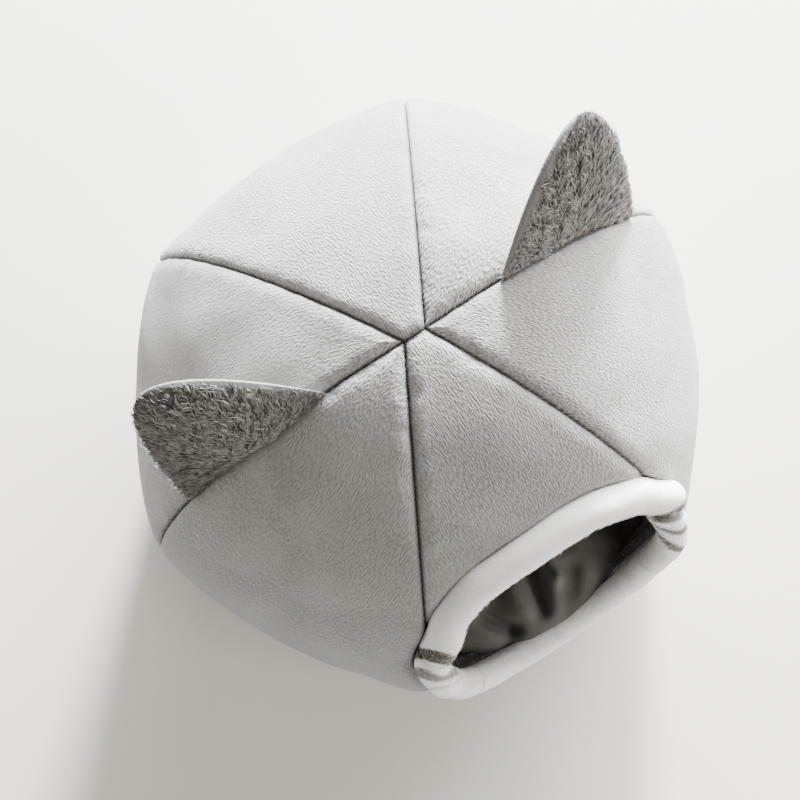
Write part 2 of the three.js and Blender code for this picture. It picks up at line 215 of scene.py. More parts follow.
# name, how far the middle stands out as a share of RADIUS, and the way of its pile in degrees
PANELS = (("panel_back_right", 0.085, 3), ("panel_back", 0.080, 11),
          ("panel_back_left", 0.072, 24), ("panel_left", 0.079, -8),
          ("panel_front", 0.081, 6), ("panel_right", 0.088, -18))
BACK_PANELS, LEFT, FRONT, RIGHT = (0, 1, 2), 3, 4, 5
POINTED_TIP, WIDE_TIP = 0.0045, 0.0015  # the station at which a panel starts
ACROSS_CELLS, ALONG_CELLS = 66, 132
FINE_STATIONS = 4000


def crown_end(k):
    """The end of the cross seam at which seam k starts: 1 on the right, -1 on the left."""
    return SEAMS[k % len(SEAMS)][2]


def seam_foot(k):
    """Where seam k is in plan at the widest level, as a share of RADIUS."""
    angle, reach, _ = SEAMS[k % len(SEAMS)]
    return reach * np.array([np.cos(np.radians(angle)), np.sin(np.radians(angle))])


def profile(station, depth):
    """Reach and height of the dome at depth below its face. station runs from 0 at the crown
    over 1 at the widest level to 2 at the base seam: a quarter ellipse above the widest level,
    and below it another that turns under."""
    widest = RADIUS - depth
    up = np.clip(1 - station, 0, 1) * np.pi / 2
    under = np.clip(station - 1, 0, 1)
    lowest = np.maximum(depth, 0) * (BASE_THICK / WALL)
    turned = widest - (widest - RADIUS * BASE_SHARE) * (1 - np.sqrt(1 - under**2))
    reach = np.where(station <= 1, widest * np.cos(up), turned)
    rise = WIDEST + (HEIGHT - depth - WIDEST) * np.sin(up)
    return reach, np.where(station <= 1, rise, WIDEST + (lowest - WIDEST) * under)


def dome_point(k, across, station, depth=0.0):
    """Points of panel k. In plan they lie between its two seams, across of the way from the one
    to the next, and stand out past the straight line by bulge * 4 across (1 - across). Near the
    crown they close in on the cross seam instead of on one point."""
    across, station, depth = np.broadcast_arrays(across, station, depth)
    a, b = seam_foot(k), seam_foot(k + 1)
    out = (a + b) / np.linalg.norm(a + b)
    t = across[..., None]
    plan = a + (b - a) * t + out * (PANELS[k][1] * 4 * t * (1 - t))
    first, last = crown_end(k), crown_end(k + 1)
    start = (first + (last - first) * across) * CROWN_SEAM / 2
    reach, z = profile(station, depth)
    x = plan[..., 0] * reach + start * (1 - np.minimum(reach / RADIUS, 1))
    return np.stack([x, plan[..., 1] * reach, z], -1)


def drawn_in(distance, depth=SEAM_DEPTH, width=SEAM_WIDTH):
    """How far the padding is drawn in at a distance from a seam: a quarter ellipse that is depth
    deep at the seam and level with the face at width from it."""
    s = np.clip(distance / width, 0, 1)
    return depth * (1 - np.sqrt(1 - (1 - s) ** 2))


def waves(x, y, shortest, longest, seed):
    """A soft unevenness, mostly between -1 and 1: the sum of n plane waves in random directions,
    with lengths from shortest to longest, divided by the root of n."""
    chance = np.random.default_rng(seed)
    length = chance.uniform(shortest, longest, WAVE_COUNT)
    heading = chance.uniform(0, 2 * np.pi, WAVE_COUNT)
    phase = chance.uniform(0, 2 * np.pi, WAVE_COUNT)
    turn = x[..., None] * np.cos(heading) + y[..., None] * np.sin(heading)
    return np.sin(turn * 2 * np.pi / length + phase).sum(-1) / np.sqrt(WAVE_COUNT)


def even_stations(first, steps):
    """Stations from first to the base seam that are evenly spaced along the face, and how far
    along it they are."""
    fine = np.linspace(first, 2, FINE_STATIONS)
    reach, z = profile(fine, 0.0)
    run = np.concatenate([[0], np.cumsum(np.hypot(np.diff(reach), np.diff(z)))])
    even = np.linspace(0, run[-1], steps + 1)
    return np.interp(even, run, fine), even


# The doorway's outline, which is the centre line of the roll round it: two half superellipses,
# seen from the front, laid on the front panel.
DOOR_MIDDLE, DOOR_HALF_WIDTH = -0.005, 0.094
DOOR_TOP, DOOR_BOTTOM, DOOR_TILT = 0.260, 0.061, 1.5
SQUARE_TOP, SQUARE_BOTTOM = 2.7, 2.1  # 2 is an ellipse, more is squarer
INSET_TOP, INSET_BOTTOM = 0.003, -0.002  # the centre line below the face cloth
DOOR_HALF_HEIGHT = (DOOR_TOP - DOOR_BOTTOM) / 2
DOOR_CENTRE = np.array([DOOR_MIDDLE, DOOR_BOTTOM + DOOR_HALF_HEIGHT])
DOOR_EDGE = 0.0131  # from the roll's centre line to the panel's cut edge
DOOR_DEPTH, DOOR_WIDTH = 0.0028, 0.008  # how the padding is drawn in beside that edge
FAR_OFF = 1.0  # stands for the distance from the doorway on the panels behind
# where the sewn roll leaves the plain outline: the middle and the half width of the place in
# degrees round the doorway, and how far it is moved out of the doorway and up from the panel
NUDGES = ((36, 14, 0.0040, 0.0), (140, 9, -0.0020, 0.0),
          (163, 9, 0.0042, 0.0), (190, 11, 0.0, -0.0038))


def door_plan(degrees):
    """x and z of the centre line: (w sgn(c)|c|^(2/n), h sgn(s)|s|^(2/n)) with c and s the cosine
    and sine of the angle, turned by the tilt about the doorway's centre."""
    a = np.radians(degrees)
    c, s = np.cos(a), np.sin(a)
    power = 2 / np.where(s < 0, SQUARE_BOTTOM, SQUARE_TOP)
    x = DOOR_HALF_WIDTH * np.sign(c) * np.abs(c) ** power
    z = DOOR_HALF_HEIGHT * np.sign(s) * np.abs(s) ** power
    t = np.radians(DOOR_TILT)
    return DOOR_CENTRE[0] + x * np.cos(t) - z * np.sin(t), DOOR_CENTRE[1] + x * np.sin(t) + z * np.cos(t)


def by_height(z, top, bottom):
    """A size that goes evenly from bottom to top of the doorway."""
    return bottom + (top - bottom) * (z - DOOR_BOTTOM) / (DOOR_TOP - DOOR_BOTTOM)


def halved(too_low, low, high, rounds):
    """The places just below and above the one up to which too_low(place) holds, by halving."""
    for _ in range(rounds):
        middle = (low + high) / 2
        short = too_low(middle)
        low, high = np.where(short, middle, low), np.where(short, high, middle)
    return low, high


def plain_line(degrees):
    """The plain centre line: on the front panel at that x and z, sunk by its inset. The place
    across the panel is found by halving, since x grows steadily with it."""
    x, z = door_plan(np.asarray(degrees, float))
    up = np.arcsin(np.clip((z - WIDEST) / (HEIGHT - WIDEST), 0, 1))
    station = np.where(z >= WIDEST, 1 - up / (np.pi / 2), 1 + (WIDEST - z) / WIDEST)
    inset = by_height(z, INSET_TOP, INSET_BOTTOM)

    def left_of_x(across):
        """Whether places across the panel are still to the left of x."""
        return dome_point(FRONT, across, station, inset)[..., 0] < x

    across, _ = halved(left_of_x, np.full(x.shape, -0.2), np.full(x.shape, 1.2), 40)
    line = dome_point(FRONT, across, station, inset)
    line[..., 2] = z
    return line


def unit(directions):
    """The directions, each one long."""
    return directions / np.maximum(np.linalg.norm(directions, axis=-1, keepdims=True), 1e-12)


def frame_along(line_at, degrees):
    """Middle of a line, its direction, and two directions square to it: side points across it,
    along the face of the panel and out of the doorway, and up points out from the face."""
    middle = line_at(degrees)
    along = unit(line_at(degrees + 0.5) - line_at(degrees - 0.5))
    side = unit(np.cross(along, middle))
    return middle, along, side, np.cross(side, along)


def door_line(degrees):
    """The centre line in space: the plain one plus the sum of the nudges, each of them falling
    off as exp(-(degrees from its middle / half width)^2)."""
    degrees = np.asarray(degrees, float)
    middle, _, side, up = frame_along(plain_line, degrees)
    for centre, width, outwards, upwards in NUDGES:
        from_centre = (degrees - centre + 180) % 360 - 180
        share = np.exp(-((from_centre / width) ** 2))[..., None]
        middle = middle + share * (outwards * side + upwards * up)
    return middle


door_ring = door_line(np.linspace(0, 360, 720, endpoint=False))


def from_door(points):
    """Distance from the roll's centre line, less than nothing inside the doorway."""
    flat = points.reshape(-1, 3)
    squared = (flat**2).sum(1)[:, None] - 2 * flat @ door_ring.T + (door_ring**2).sum(1)
    distance = np.sqrt(np.maximum(squared.min(1), 0))
    x, z = flat[:, 0] - DOOR_CENTRE[0], flat[:, 2] - DOOR_CENTRE[1]
    t = np.radians(DOOR_TILT)
    across, up = x * np.cos(t) + z * np.sin(t), z * np.cos(t) - x * np.sin(t)
    power = np.where(up < 0, SQUARE_BOTTOM, SQUARE_TOP)
    size = (np.abs(across) / DOOR_HALF_WIDTH) ** power + (np.abs(up) / DOOR_HALF_HEIGHT) ** power
    inside = (size < 1) & (flat[:, 1] < 0)
    return np.where(inside, -distance, distance).reshape(points.shape[:-1])


def to_door_edge(k, across, station, edge):
    """Moves places on panel k until they are edge away from the centre line, by Newton's rule
    along the slope of that distance."""
    step = 1e-4
    for _ in range(5):
        here = from_door(dome_point(k, across, station))
        slope_a = (from_door(dome_point(k, across + step, station)) - here) / step
        slope_s = (from_door(dome_point(k, across, station + step)) - here) / step
        share = (edge - here) / np.maximum(slope_a**2 + slope_s**2, 1e-9)
        across, station = across + share * slope_a, station + share * slope_s
    return np.clip(across, 0, 1), station


def used_only(points, faces, *extra):
    """Points that a face uses, the faces renumbered for them, and the extras of those points."""
    used = np.unique(np.concatenate([f.ravel() for f in faces]))
    number = np.zeros(len(points), int)
    number[used] = np.arange(len(used))
    return points[used], [number[f] for f in faces], *[e[used] for e in extra]


def cells(keep, columns):
    """The four corners of each kept cell of a grid with that many points in a row. Where a row
    has as many cells as points it is a ring, and its last point joins on to its first."""
    i, j = np.nonzero(keep)
    row, below, after = i * columns, (i + 1) * columns, (j + 1) % columns
    return np.stack([row + j, row + after, below + after, below + j], -1)


def clear_cells(clear, ring=False):
    """Which cells of a grid, or of a ring of cells, have four clear corners, and which of the
    clear points are on a cell that hasn't."""
    rows, columns = clear.shape
    corners = cells(np.ones((rows - 1, columns if ring else columns - 1), bool), columns)
    whole = clear.ravel()[corners].all(1)
    beside = np.zeros(clear.size, bool)
    beside[corners[~whole]] = True
    return whole.reshape(rows - 1, -1), beside.reshape(clear.shape) & clear


def end_faces(rows, columns):
    """The first and the last of a stack of rings, each as one polygon."""
    ring = np.arange(columns)
    return np.stack([ring[::-1], ring + (rows - 1) * columns])


def walled(outer, inner, keep, ends_closed=False):
    """A closed wall between two grids of points: the kept cells of both, and a strip along every
    edge that only one kept cell has. Where its ends are closed, the first and the last row of
    each grid have one polygon instead of the strip."""
    rows, columns = outer.shape[:2]
    count = rows * columns
    face = cells(keep, columns)
    start, end = face.ravel(), np.roll(face, -1, axis=1).ravel()
    rim = ~np.isin(start * count + end, end * count + start)
    ends = []
    if ends_closed:
        rim &= ~((start < columns) & (end < columns))
        rim &= ~((start >= count - columns) & (end >= count - columns))
        rings = end_faces(rows, columns)
        ends = [rings, rings[:, ::-1] + count]
    a, b = start[rim], end[rim]
    strip = np.stack([b, a, a + count, b + count], -1)
    points = np.concatenate([outer.reshape(-1, 3), inner.reshape(-1, 3)])
    return points, [face, face[:, ::-1] + count, strip] + ends


def turned_out(points, faces):
    """The faces, turned round if the volume that they enclose comes out negative."""
    corner = [(points[f[:, 0]], points[f[:, i]], points[f[:, i + 1]]) for f in faces
              for i in range(1, f.shape[1] - 1)]
    volume = sum((a * np.cross(b, c)).sum() for a, b, c in corner)
    return faces if volume > 0 else [f[:, ::-1] for f in faces]


DASHES_ACROSS, DASHES_ALONG = 980.0, 320.0  # noise cells of the pile for each metre
DASH_HEIGHT = 0.0021
VELVET_TINT, VELVET_SHEEN = (0.345, 0.342, 0.335), (0.95, 0.97, 1.0)
# the low pile between the dashes is darker: grain, and painted shade in its hollows
STANDING, BRUSHED, LOW_PILE_SHADE = 1.02, 1.14, 0.74  # shares of the tint in standing, brushed and low pile
# near black: painted shade deep in the seams and on the panels' side under the lining
PAINTED_SHADE_COLOUR = (0.012, 0.011, 0.010)


def ramp(tree, value, low, high, to_low=0.0, to_high=1.0):
    """value carried from the range low..high to the range to_low..to_high, and held there."""
    limits = {"Value": value, "From Min": low, "From Max": high, "To Min": to_low, "To Max": to_high}
    return node(tree, "ShaderNodeMapRange", limits, interpolation_type="SMOOTHSTEP").outputs[0]


def maths(tree, operation, *values):
    """An operation on values or other nodes' outputs."""
    return node(tree, "ShaderNodeMath", dict(enumerate(values)), operation=operation).outputs[0]


def bumped(tree, strength, distance, height):
    """The normal of a surface that a height from 0 to 1 lifts by up to that distance."""
    inputs = {"Strength": strength, "Distance": distance, "Height": height}
    return node(tree, "ShaderNodeBump", inputs).outputs[0]


def velvet(name, tint, combed=1.0):
    """Short velvet pile. Its dashes are noise stretched along the pile, in the piece's own UV in
    metres: the low places between them are darker, which is grain and painted shade in its hollows.
    Wider noise gives the brushed patches, where the pile lies flatter and paler and the dashes show
    less. It is painted nearly black as shade where a point attribute is 1: deep in a seam, and on
    the side under the lining. combed is how strong the dashes are."""
    material, tree, surface = new_material(name)
    place = node(tree, "ShaderNodeTexCoord").outputs["UV"]
    scale = (DASHES_ACROSS, DASHES_ALONG, 1.0)
    lay = node(tree, "ShaderNodeMapping", {"Vector": place, "Scale": scale}).outputs[0]
    dashes = noise(tree, lay, 1.0, 0.5, 0.3)
    hairs = noise(tree, lay, 2.7, 2.0)
    nap = ramp(tree, noise(tree, place, 15.0, 5.0, 0.8), 0.36, 0.66)
    cloth = blended(tree, nap, shade(tint, STANDING), shade(tint, BRUSHED))
    # how dark the low pile is painted, grain with painted shade, fainter in the brushed patches
    low = ramp(tree, dashes, 0.42, 0.58, combed, 0.0)
    valley_shade = maths(tree, "MULTIPLY", low, ramp(tree, nap, 0.0, 1.0, 1.0, 0.5))
    colour = blended(tree, valley_shade, cloth, shade(tint, LOW_PILE_SHADE))
    painted_shade = node(tree, "ShaderNodeAttribute", attribute_name="painted_shade").outputs["Fac"]
    colour = blended(tree, painted_shade, colour, PAINTED_SHADE_COLOUR)
    height = maths(tree, "MULTIPLY_ADD", hairs, 0.3, dashes)
    shader = node(tree, "ShaderNodeBsdfPrincipled", {
        "Base Color": colour, "Roughness": ramp(tree, dashes, 0.3, 0.7, 0.78, 0.95),
        "Normal": bumped(tree, 0.9 * combed, DASH_HEIGHT, height), "Sheen Weight": 0.6,
        "Sheen Roughness": 0.5, "Sheen Tint": VELVET_SHEEN, "Specular IOR Level": 0.15})
    tree.links.new(shader.outputs[0], surface)
    return material


VELVET = velvet("grey_velvet", VELVET_TINT)


def panel_grid(k):
    """Places across and along panel k. The columns are closer together beside its seams."""
    even = np.linspace(0, 1, ACROSS_CELLS + 1)
    columns = 0.2 * even + 0.8 * (1 - np.cos(np.pi * even)) / 2
    tip = POINTED_TIP if crown_end(k) == crown_end(k + 1) else WIDE_TIP
    rows, _ = even_stations(tip, ALONG_CELLS)
    return np.meshgrid(columns, rows)


def panel_width(k, station):
    """From seam to seam of panel k at a station."""
    return np.linalg.norm(dome_point(k, 0, station) - dome_point(k, 1, station), axis=-1)


def from_seam(k, across, station):
    """Distance of places on panel k from the nearer of its seams, or from the crown's middle."""
    to_side = np.minimum(across, 1 - across) * panel_width(k, station)
    return np.minimum(to_side, profile(station, 0.0)[0])


def panel_relief(k, across, station, door):
    """How far the face lies below the plain dome: drawn in at the seams, the crown and the
    doorway, with short puckers beside them and wide soft lumps over the foam."""
    reach, height = profile(station, 0.0)
    seam = from_seam(k, across, station)
    u, v = (across - 0.5) * panel_width(k, station), np.hypot(reach, HEIGHT - height)
    lumps = LUMP_HEIGHT * waves(u, v, *LUMP_LENGTHS, 10 + k)
    level = np.clip((2 - station) / LEVEL_FOOT, 0, 1) * np.clip(seam / LEVEL_SEAM, 0, 1)
    beside = np.exp(-((seam - PUCKER_MIDDLE) / PUCKER_WIDTH) ** 2)
    pucker = PUCKER_HEIGHT * waves(v, v * 0.3, *PUCKER_LENGTHS, 20 + k) * beside
    at_door = drawn_in(door - DOOR_EDGE, DOOR_DEPTH, DOOR_WIDTH)
    return drawn_in(seam) + lumps * level + pucker + at_door


def panel_points(k, across, station, door, lining_side):
    """The face of panel k, or its lining side. Both edges stand a little in from the seams."""
    depth = WALL if lining_side else panel_relief(k, across, station, door)
    points = dome_point(k, across, station, depth)
    along = unit(dome_point(k, 1, station)[..., :2] - dome_point(k, 0, station)[..., :2])
    points[..., :2] += along * (EDGE_IN * (1 - 2 * across))[..., None]
    points[..., 2] = np.maximum(points[..., 2], 0)
    return points


def panel_uv(k, across, station):
    """Metres across and along the cloth, turned to the way that its pile lies, and k metres
    further on, so that each panel has its own patches."""
    stations, run = even_stations(WIDE_TIP, 400)
    u, v = (across - 0.5) * panel_width(k, station), np.interp(station, stations, run)
    turn = np.radians(PANELS[k][2])
    return np.stack([u * np.cos(turn) - v * np.sin(turn) + k, u * np.sin(turn) + v * np.cos(turn)], -1)


def make_panel(name, k, part):
    """A padded panel. part picks the cells: all of them, or those above or below the doorway. Its
    side under the lining gets the same near-black painted shade as the seams."""
    across, station = panel_grid(k)
    door = np.full(across.shape, FAR_OFF)
    keep = np.ones((ALONG_CELLS, ACROSS_CELLS), bool)
    if k not in BACK_PANELS:
        door = from_door(dome_point(k, across, station))
        keep, snapped = clear_cells(door > DOOR_EDGE)
        across[snapped], station[snapped] = to_door_edge(k, across[snapped], station[snapped], DOOR_EDGE)
        door[snapped] = DOOR_EDGE
        upper = dome_point(k, across, station)[:-1, :-1, 2] > DOOR_CENTRE[1]
        keep &= {"all": True, "above": upper, "below": ~upper}[part]
    outer = panel_points(k, across, station, door, False)
    inner = panel_points(k, across, station, door, True)
    points, faces = walled(outer, inner, keep)
    uv = np.tile(panel_uv(k, across, station).reshape(-1, 2), (2, 1))
    # painted shade: near black deep in a seam and fading out beside it, and all over the side under the
    # lining
    painted_shade = np.exp(-((from_seam(k, across, station) / SEAM_SHADE_WIDTH) ** 2)).ravel()
    painted_shade = np.concatenate([painted_shade, np.ones(painted_shade.size)])
    points, faces, uv, painted_shade = used_only(points, faces, uv, painted_shade)
    piece = put_mesh(name + "_padded", points, turned_out(points, faces), VELVET, uv, painted_shade=painted_shade)
    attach(piece, "root")
    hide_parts(name)


for k, (panel_name, _, _) in enumerate(PANELS):
    make_panel(panel_name, k, "above" if k == FRONT else "all")
make_panel("panel_sill", FRONT, "below")


# The base pad: a flat padded disc of the same velvet with six soft corners, sewn to the foot of
# the panels. The house stands on it.
PAD_EDGE_CELLS, PAD_ROWS = 20, 9
PAD_ROUNDING = 0.0035
PAD_RINGS = np.array([0.95, 0.5])  # rings on its flat faces, as shares of the rim
PAD_UV_START = 7.0  # metres, away from the panels' stretches of the cloth


def hexagon_ring(cells_a_side, station=1.0):
    """Plan of the dome at a station, as one ring of points."""
    t = np.arange(cells_a_side) / cells_a_side
    return np.concatenate([dome_point(k, t, station) for k in range(len(SEAMS))])


def capped_tube(rings):
    """Points and outward faces of a stack of equal rings: quads round it, and one polygon at
    each end."""
    rows, columns = rings.shape[:2]
    points = rings.reshape(-1, 3)
    faces = [cells(np.ones((rows - 1, columns), bool), columns), end_faces(rows, columns)]
    return points, turned_out(points, faces)


def base_pad():
    """Rings up the pad's rounded side: inset e (1 - sin a), height from 0 to its thickness."""
    ring = hexagon_ring(PAD_EDGE_CELLS, 2.0)
    reach = np.hypot(ring[:, 0], ring[:, 1])
    angle = np.linspace(0, np.pi, PAD_ROWS)
    inset = GAP + PAD_ROUNDING * (1 - np.sin(angle))
    height = BASE_THICK / 2 * (1 - np.cos(angle))
    share = 1 - inset[:, None] / reach
    share = np.concatenate([np.outer(PAD_RINGS[::-1], share[0]), share, np.outer(PAD_RINGS, share[-1])])
    flat = np.ones(len(PAD_RINGS))
    height = np.concatenate([0 * flat, height, BASE_THICK * flat])
    return capped_tube(np.stack([ring[:, 0] * share, ring[:, 1] * share, height[:, None] + 0 * share], -1))


pad_points, pad_faces = base_pad()
pad = put_mesh("base_pad_padded", pad_points, pad_faces, VELVET, pad_points[:, :2] + PAD_UV_START)
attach(pad, "root")
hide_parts("base_pad")


# The lining: one layer of smooth dark grey cloth inside the panels, sewn from six gores and a
# floor, and turned up against the roll round the doorway. It hangs in shallow folds.
LINING_THICK, LINING_GAP = 0.0012, 0.0006
LINING_EDGE, LINING_TURN = 0.0092, 0.0128  # from the roll's centre line
LINING_LIFT = 0.0062  # at its edge, up against the roll
LINING_FOLDS, LINING_FOLD_LENGTHS = 0.0016, (0.12, 0.3)
FOLDS_FULL, FOLDS_END, FOLDS_FADE = 0.25, 1.9, 0.2  # stations: full from, gone at, fading over
FOLDS_CLEAR = 0.02  # from the turned edge to where they are full
LINING_SIDE_CELLS, LINING_ROWS, LINING_FLOOR_ROWS = 24, 84, 12
LINING_CROWN, LINING_FOOT = 0.004, 1.93  # stations between which it hangs on the wall
LINING_FLOOR, LINING_MIDDLE = 0.0148, 0.02  # height, and last ring as a share of the floor's rim
CLOTH_DARK, CLOTH_PALE, CLOTH_LOW = (0.088, 0.084, 0.079), (0.118, 0.113, 0.107), (0.056, 0.053, 0.050)
FINE_PILE = 0.0004  # height of the finest pile, on the cloth and on the plush


def dark_cloth(name):
    """Smooth short-pile cloth, dark warm grey. Fine noise is its pile, and wide noise the
    lighter and darker places where it has been brushed."""
    material, tree, surface = new_material(name)
    place = node(tree, "ShaderNodeTexCoord").outputs["Object"]
    pile = noise(tree, place, 1100.0, 3.0)
    brushed = ramp(tree, noise(tree, place, 20.0, 3.0, 0.5), 0.35, 0.65)
    cloth = blended(tree, brushed, CLOTH_DARK, CLOTH_PALE)
    colour = blended(tree, ramp(tree, pile, 0.35, 0.65, 0.3, 0.0), cloth, CLOTH_LOW)
    shader = node(tree, "ShaderNodeBsdfPrincipled", {
        "Base Color": colour, "Roughness": 0.85, "Normal": bumped(tree, 0.4, FINE_PILE, pile),
        "Sheen Weight": 0.3, "Sheen Roughness": 0.4, "Sheen Tint": (1.0, 0.98, 0.95),
        "Specular IOR Level": 0.25})
    tree.links.new(shader.outputs[0], surface)
    return material


DARK_CLOTH = dark_cloth("dark_lining_cloth")


def lining_points(across, station, side, door, below):
    """The lining's grid, below its outer face by a depth: under the panels by their wall and a
    gap, with folds that run down each gore, and lifted towards the roll beside the doorway."""
    lift = LINING_LIFT * np.clip((LINING_TURN - door) / (LINING_TURN - LINING_EDGE), 0, 1) ** 2
    folds = LINING_FOLDS * (1 + waves(across + side, station * 0.4, *LINING_FOLD_LENGTHS, 41))
    folds *= np.sin(np.pi * across)
    folds *= np.clip(station / FOLDS_FULL, 0, 1) * np.clip((FOLDS_END - station) / FOLDS_FADE, 0, 1)
    folds *= np.clip((door - LINING_TURN) / FOLDS_CLEAR, 0, 1)
    points = np.zeros(across.shape + (3,))
    for k in range(len(SEAMS)):
        here = side == k
        depth = WALL + LINING_GAP + below + folds[here] - lift[here]
        points[here] = dome_point(k, across[here], station[here], depth)
    points[..., 2] = np.maximum(points[..., 2], LINING_FLOOR + below)
    return points


def lining():
    """The sack as a closed wall between its outer and inner faces. The rows run down the wall and
    then in over the floor to its middle, and the last ring of each is closed by one polygon."""
    ring = np.arange(LINING_SIDE_CELLS * len(SEAMS))
    rows, _ = even_stations(LINING_CROWN, LINING_ROWS)
    across, station = np.meshgrid(ring % LINING_SIDE_CELLS / LINING_SIDE_CELLS, rows[rows < LINING_FOOT])
    side = np.broadcast_to(ring // LINING_SIDE_CELLS, across.shape)
    door = np.full(across.shape, FAR_OFF)
    for k in (LEFT, FRONT, RIGHT):
        here = side == k
        door[here] = from_door(dome_point(k, across[here], station[here]))
    keep, snapped = clear_cells(door > LINING_EDGE, ring=True)
    for k in (LEFT, FRONT, RIGHT):
        here = snapped & (side == k)
        across[here], station[here] = to_door_edge(k, across[here], station[here], LINING_EDGE)
    door[snapped] = LINING_EDGE
    inward = np.linspace(1, LINING_MIDDLE, LINING_FLOOR_ROWS)[1:, None, None]
    layers = []
    for below in (0.0, LINING_THICK):
        wall = lining_points(across, station, side, door, below)
        floor_rows = wall[-1] * np.concatenate([inward, inward, 0 * inward + 1], -1)
        layers.append(np.concatenate([wall, floor_rows]))
    keep = np.concatenate([keep, np.ones((LINING_FLOOR_ROWS - 1, keep.shape[1]), bool)])
    return walled(*layers, keep, ends_closed=True)


lining_mesh = used_only(*lining())
lining_piece = put_mesh("lining_cloth", lining_mesh[0], turned_out(*lining_mesh), DARK_CLOTH)
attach(lining_piece, "root")
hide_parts("lining")


# The cushion: a loose filled pad of the dark cloth that fills the floor from wall to wall. It is
# blown up by a cloth simulation and then creased where it is pushed against the sill.
CUSHION_REACH = 0.193
# share of its reach, and height, from the underside over the side to the middle of the top
CUSHION_RINGS = np.array([(0.30, 0.0185), (0.86, 0.0185), (0.94, 0.027), (0.965, 0.045),
                          (0.965, 0.060), (0.945, 0.070), (0.90, 0.0755), (0.85, 0.078),
                          (0.78, 0.080), (0.68, 0.082), (0.50, 0.084), (0.30, 0.086), (0.10, 0.0865)])
CUSHION_SIDE_CELLS = 16
VOXEL, PRESSURE, SWELL_CAP = 0.005, 4.0, 0.005
SIMULATED = 20  # frames
# the lip that is pushed out to the sill: shares of its reach at its middle and lost at its sides,
# how far it is lifted, half its width and the width over which it fades out in degrees, and the
# doorway's angle from +X
LIP_MIDDLE, LIP_SIDES, LIP_RISE = 1.060, 0.08, 0.005
LIP_HALF, LIP_FADE, DOOR_ANGLE = 42, 8, 270
LIP_FROM, LIP_OVER = 0.5, 0.4  # share of the reach at which it starts, and how far on it is full
LIP_LOW, LIP_GROWS = 0.060, 0.009  # height at which it starts, and how far up it is full
EDGE_HALF, EDGE_LOW, EDGE_SHARE = 30, 0.069, 0.96  # where its edge was before, as a quantile there
TOP_LOW, TOP_GROWS = 0.055, 0.02  # height at which folds and creases set in, and how far up they are full
FLATTER, FLATTER_FROM, FLATTER_OVER = 0.6, 0.94, 0.1  # what folds lose, from that share outwards
CREASE_HEIGHT, CREASE_LENGTHS = 0.0016, (0.018, 0.045)  # small creases round the rim
CREASE_MIDDLE, CREASE_BAND = 0.165, 0.022  # from the middle of the cushion
CUSHION_FLOOR = 0.0170
# a ridge, or a trough if its height is negative, from one point to another in plan
FOLDS = (((-0.066, -0.140), (-0.050, -0.170), 0.008, 0.010),
         ((-0.046, -0.160), (-0.036, -0.177), -0.019, 0.0065),
         ((-0.034, -0.182), (-0.048, -0.190), -0.016, 0.0055),
         ((-0.078, -0.160), (-0.050, -0.187), 0.006, 0.0065),
         ((-0.020, -0.148), (-0.021, -0.174), 0.009, 0.010),
         ((0.001, -0.146), (-0.008, -0.180), -0.017, 0.0060),
         ((0.016, -0.140), (0.012, -0.166), 0.014, 0.0054),
         ((0.012, -0.166), (0.002, -0.182), 0.007, 0.0058),
         ((0.026, -0.166), (0.014, -0.188), -0.008, 0.007),
         ((0.040, -0.140), (0.036, -0.176), 0.006, 0.013),
         ((0.080, -0.136), (0.078, -0.176), -0.006, 0.012))


def cushion_outline():
    """Plan of the cushion's widest ring."""
    return hexagon_ring(CUSHION_SIDE_CELLS)[:, :2] * (CUSHION_REACH / RADIUS)


def cushion_start():
    """Six-sided rings, each a share of the cushion's reach, stacked to a closed pad."""
    plan = CUSHION_RINGS[:, :1, None] * cushion_outline()
    height = np.broadcast_to(CUSHION_RINGS[:, 1:, None], plan.shape[:2] + (1,))
    return capped_tube(np.concatenate([plan, height], -1))


def read_points(piece):
    """The points of a mesh as an array."""
    points = np.zeros(len(piece.data.vertices) * 3, np.float32)
    piece.data.vertices.foreach_get("co", points)
    return points.reshape(-1, 3).astype(float)


def write_points(piece, points):
    """Puts points back into a mesh."""
    piece.data.vertices.foreach_set("co", points.astype(np.float32).ravel())
    piece.data.update()


def apply_modifiers(piece):
    """Puts what the modifiers made into the mesh, and takes them off."""
    made = bpy.data.meshes.new_from_object(piece.evaluated_get(bpy.context.evaluated_depsgraph_get()))
    piece.modifiers.clear()
    old, piece.data = piece.data, made
    bpy.data.meshes.remove(old)


def inflate(piece):
    """Remeshes a closed piece into even cells, blows it up as cloth without gravity, and keeps
    each point within SWELL_CAP of where it was."""
    remesh = piece.modifiers.new("even_cells", "REMESH")
    remesh.mode = "VOXEL"
    remesh.voxel_size = VOXEL
    apply_modifiers(piece)
    rest = read_points(piece)
    cloth = piece.modifiers.new("filling", "CLOTH")
    cloth.settings.use_pressure = True
    cloth.settings.uniform_pressure_force = PRESSURE
    cloth.settings.effector_weights.gravity = 0
    for moment in range(1, SIMULATED + 1):
        bpy.context.scene.frame_set(moment)
    apply_modifiers(piece)
    swollen = read_points(piece)
    bpy.context.scene.frame_set(1)
    away = swollen - rest
    far = np.linalg.norm(away, axis=1, keepdims=True)
    write_points(piece, rest + away * np.minimum(1, SWELL_CAP / np.maximum(far, 1e-9)))


def subdivide(piece):
    """One smooth subdivision, put into the mesh."""
    finer = piece.modifiers.new("finer", "SUBSURF")
    finer.levels = finer.render_levels = 1
    apply_modifiers(piece)


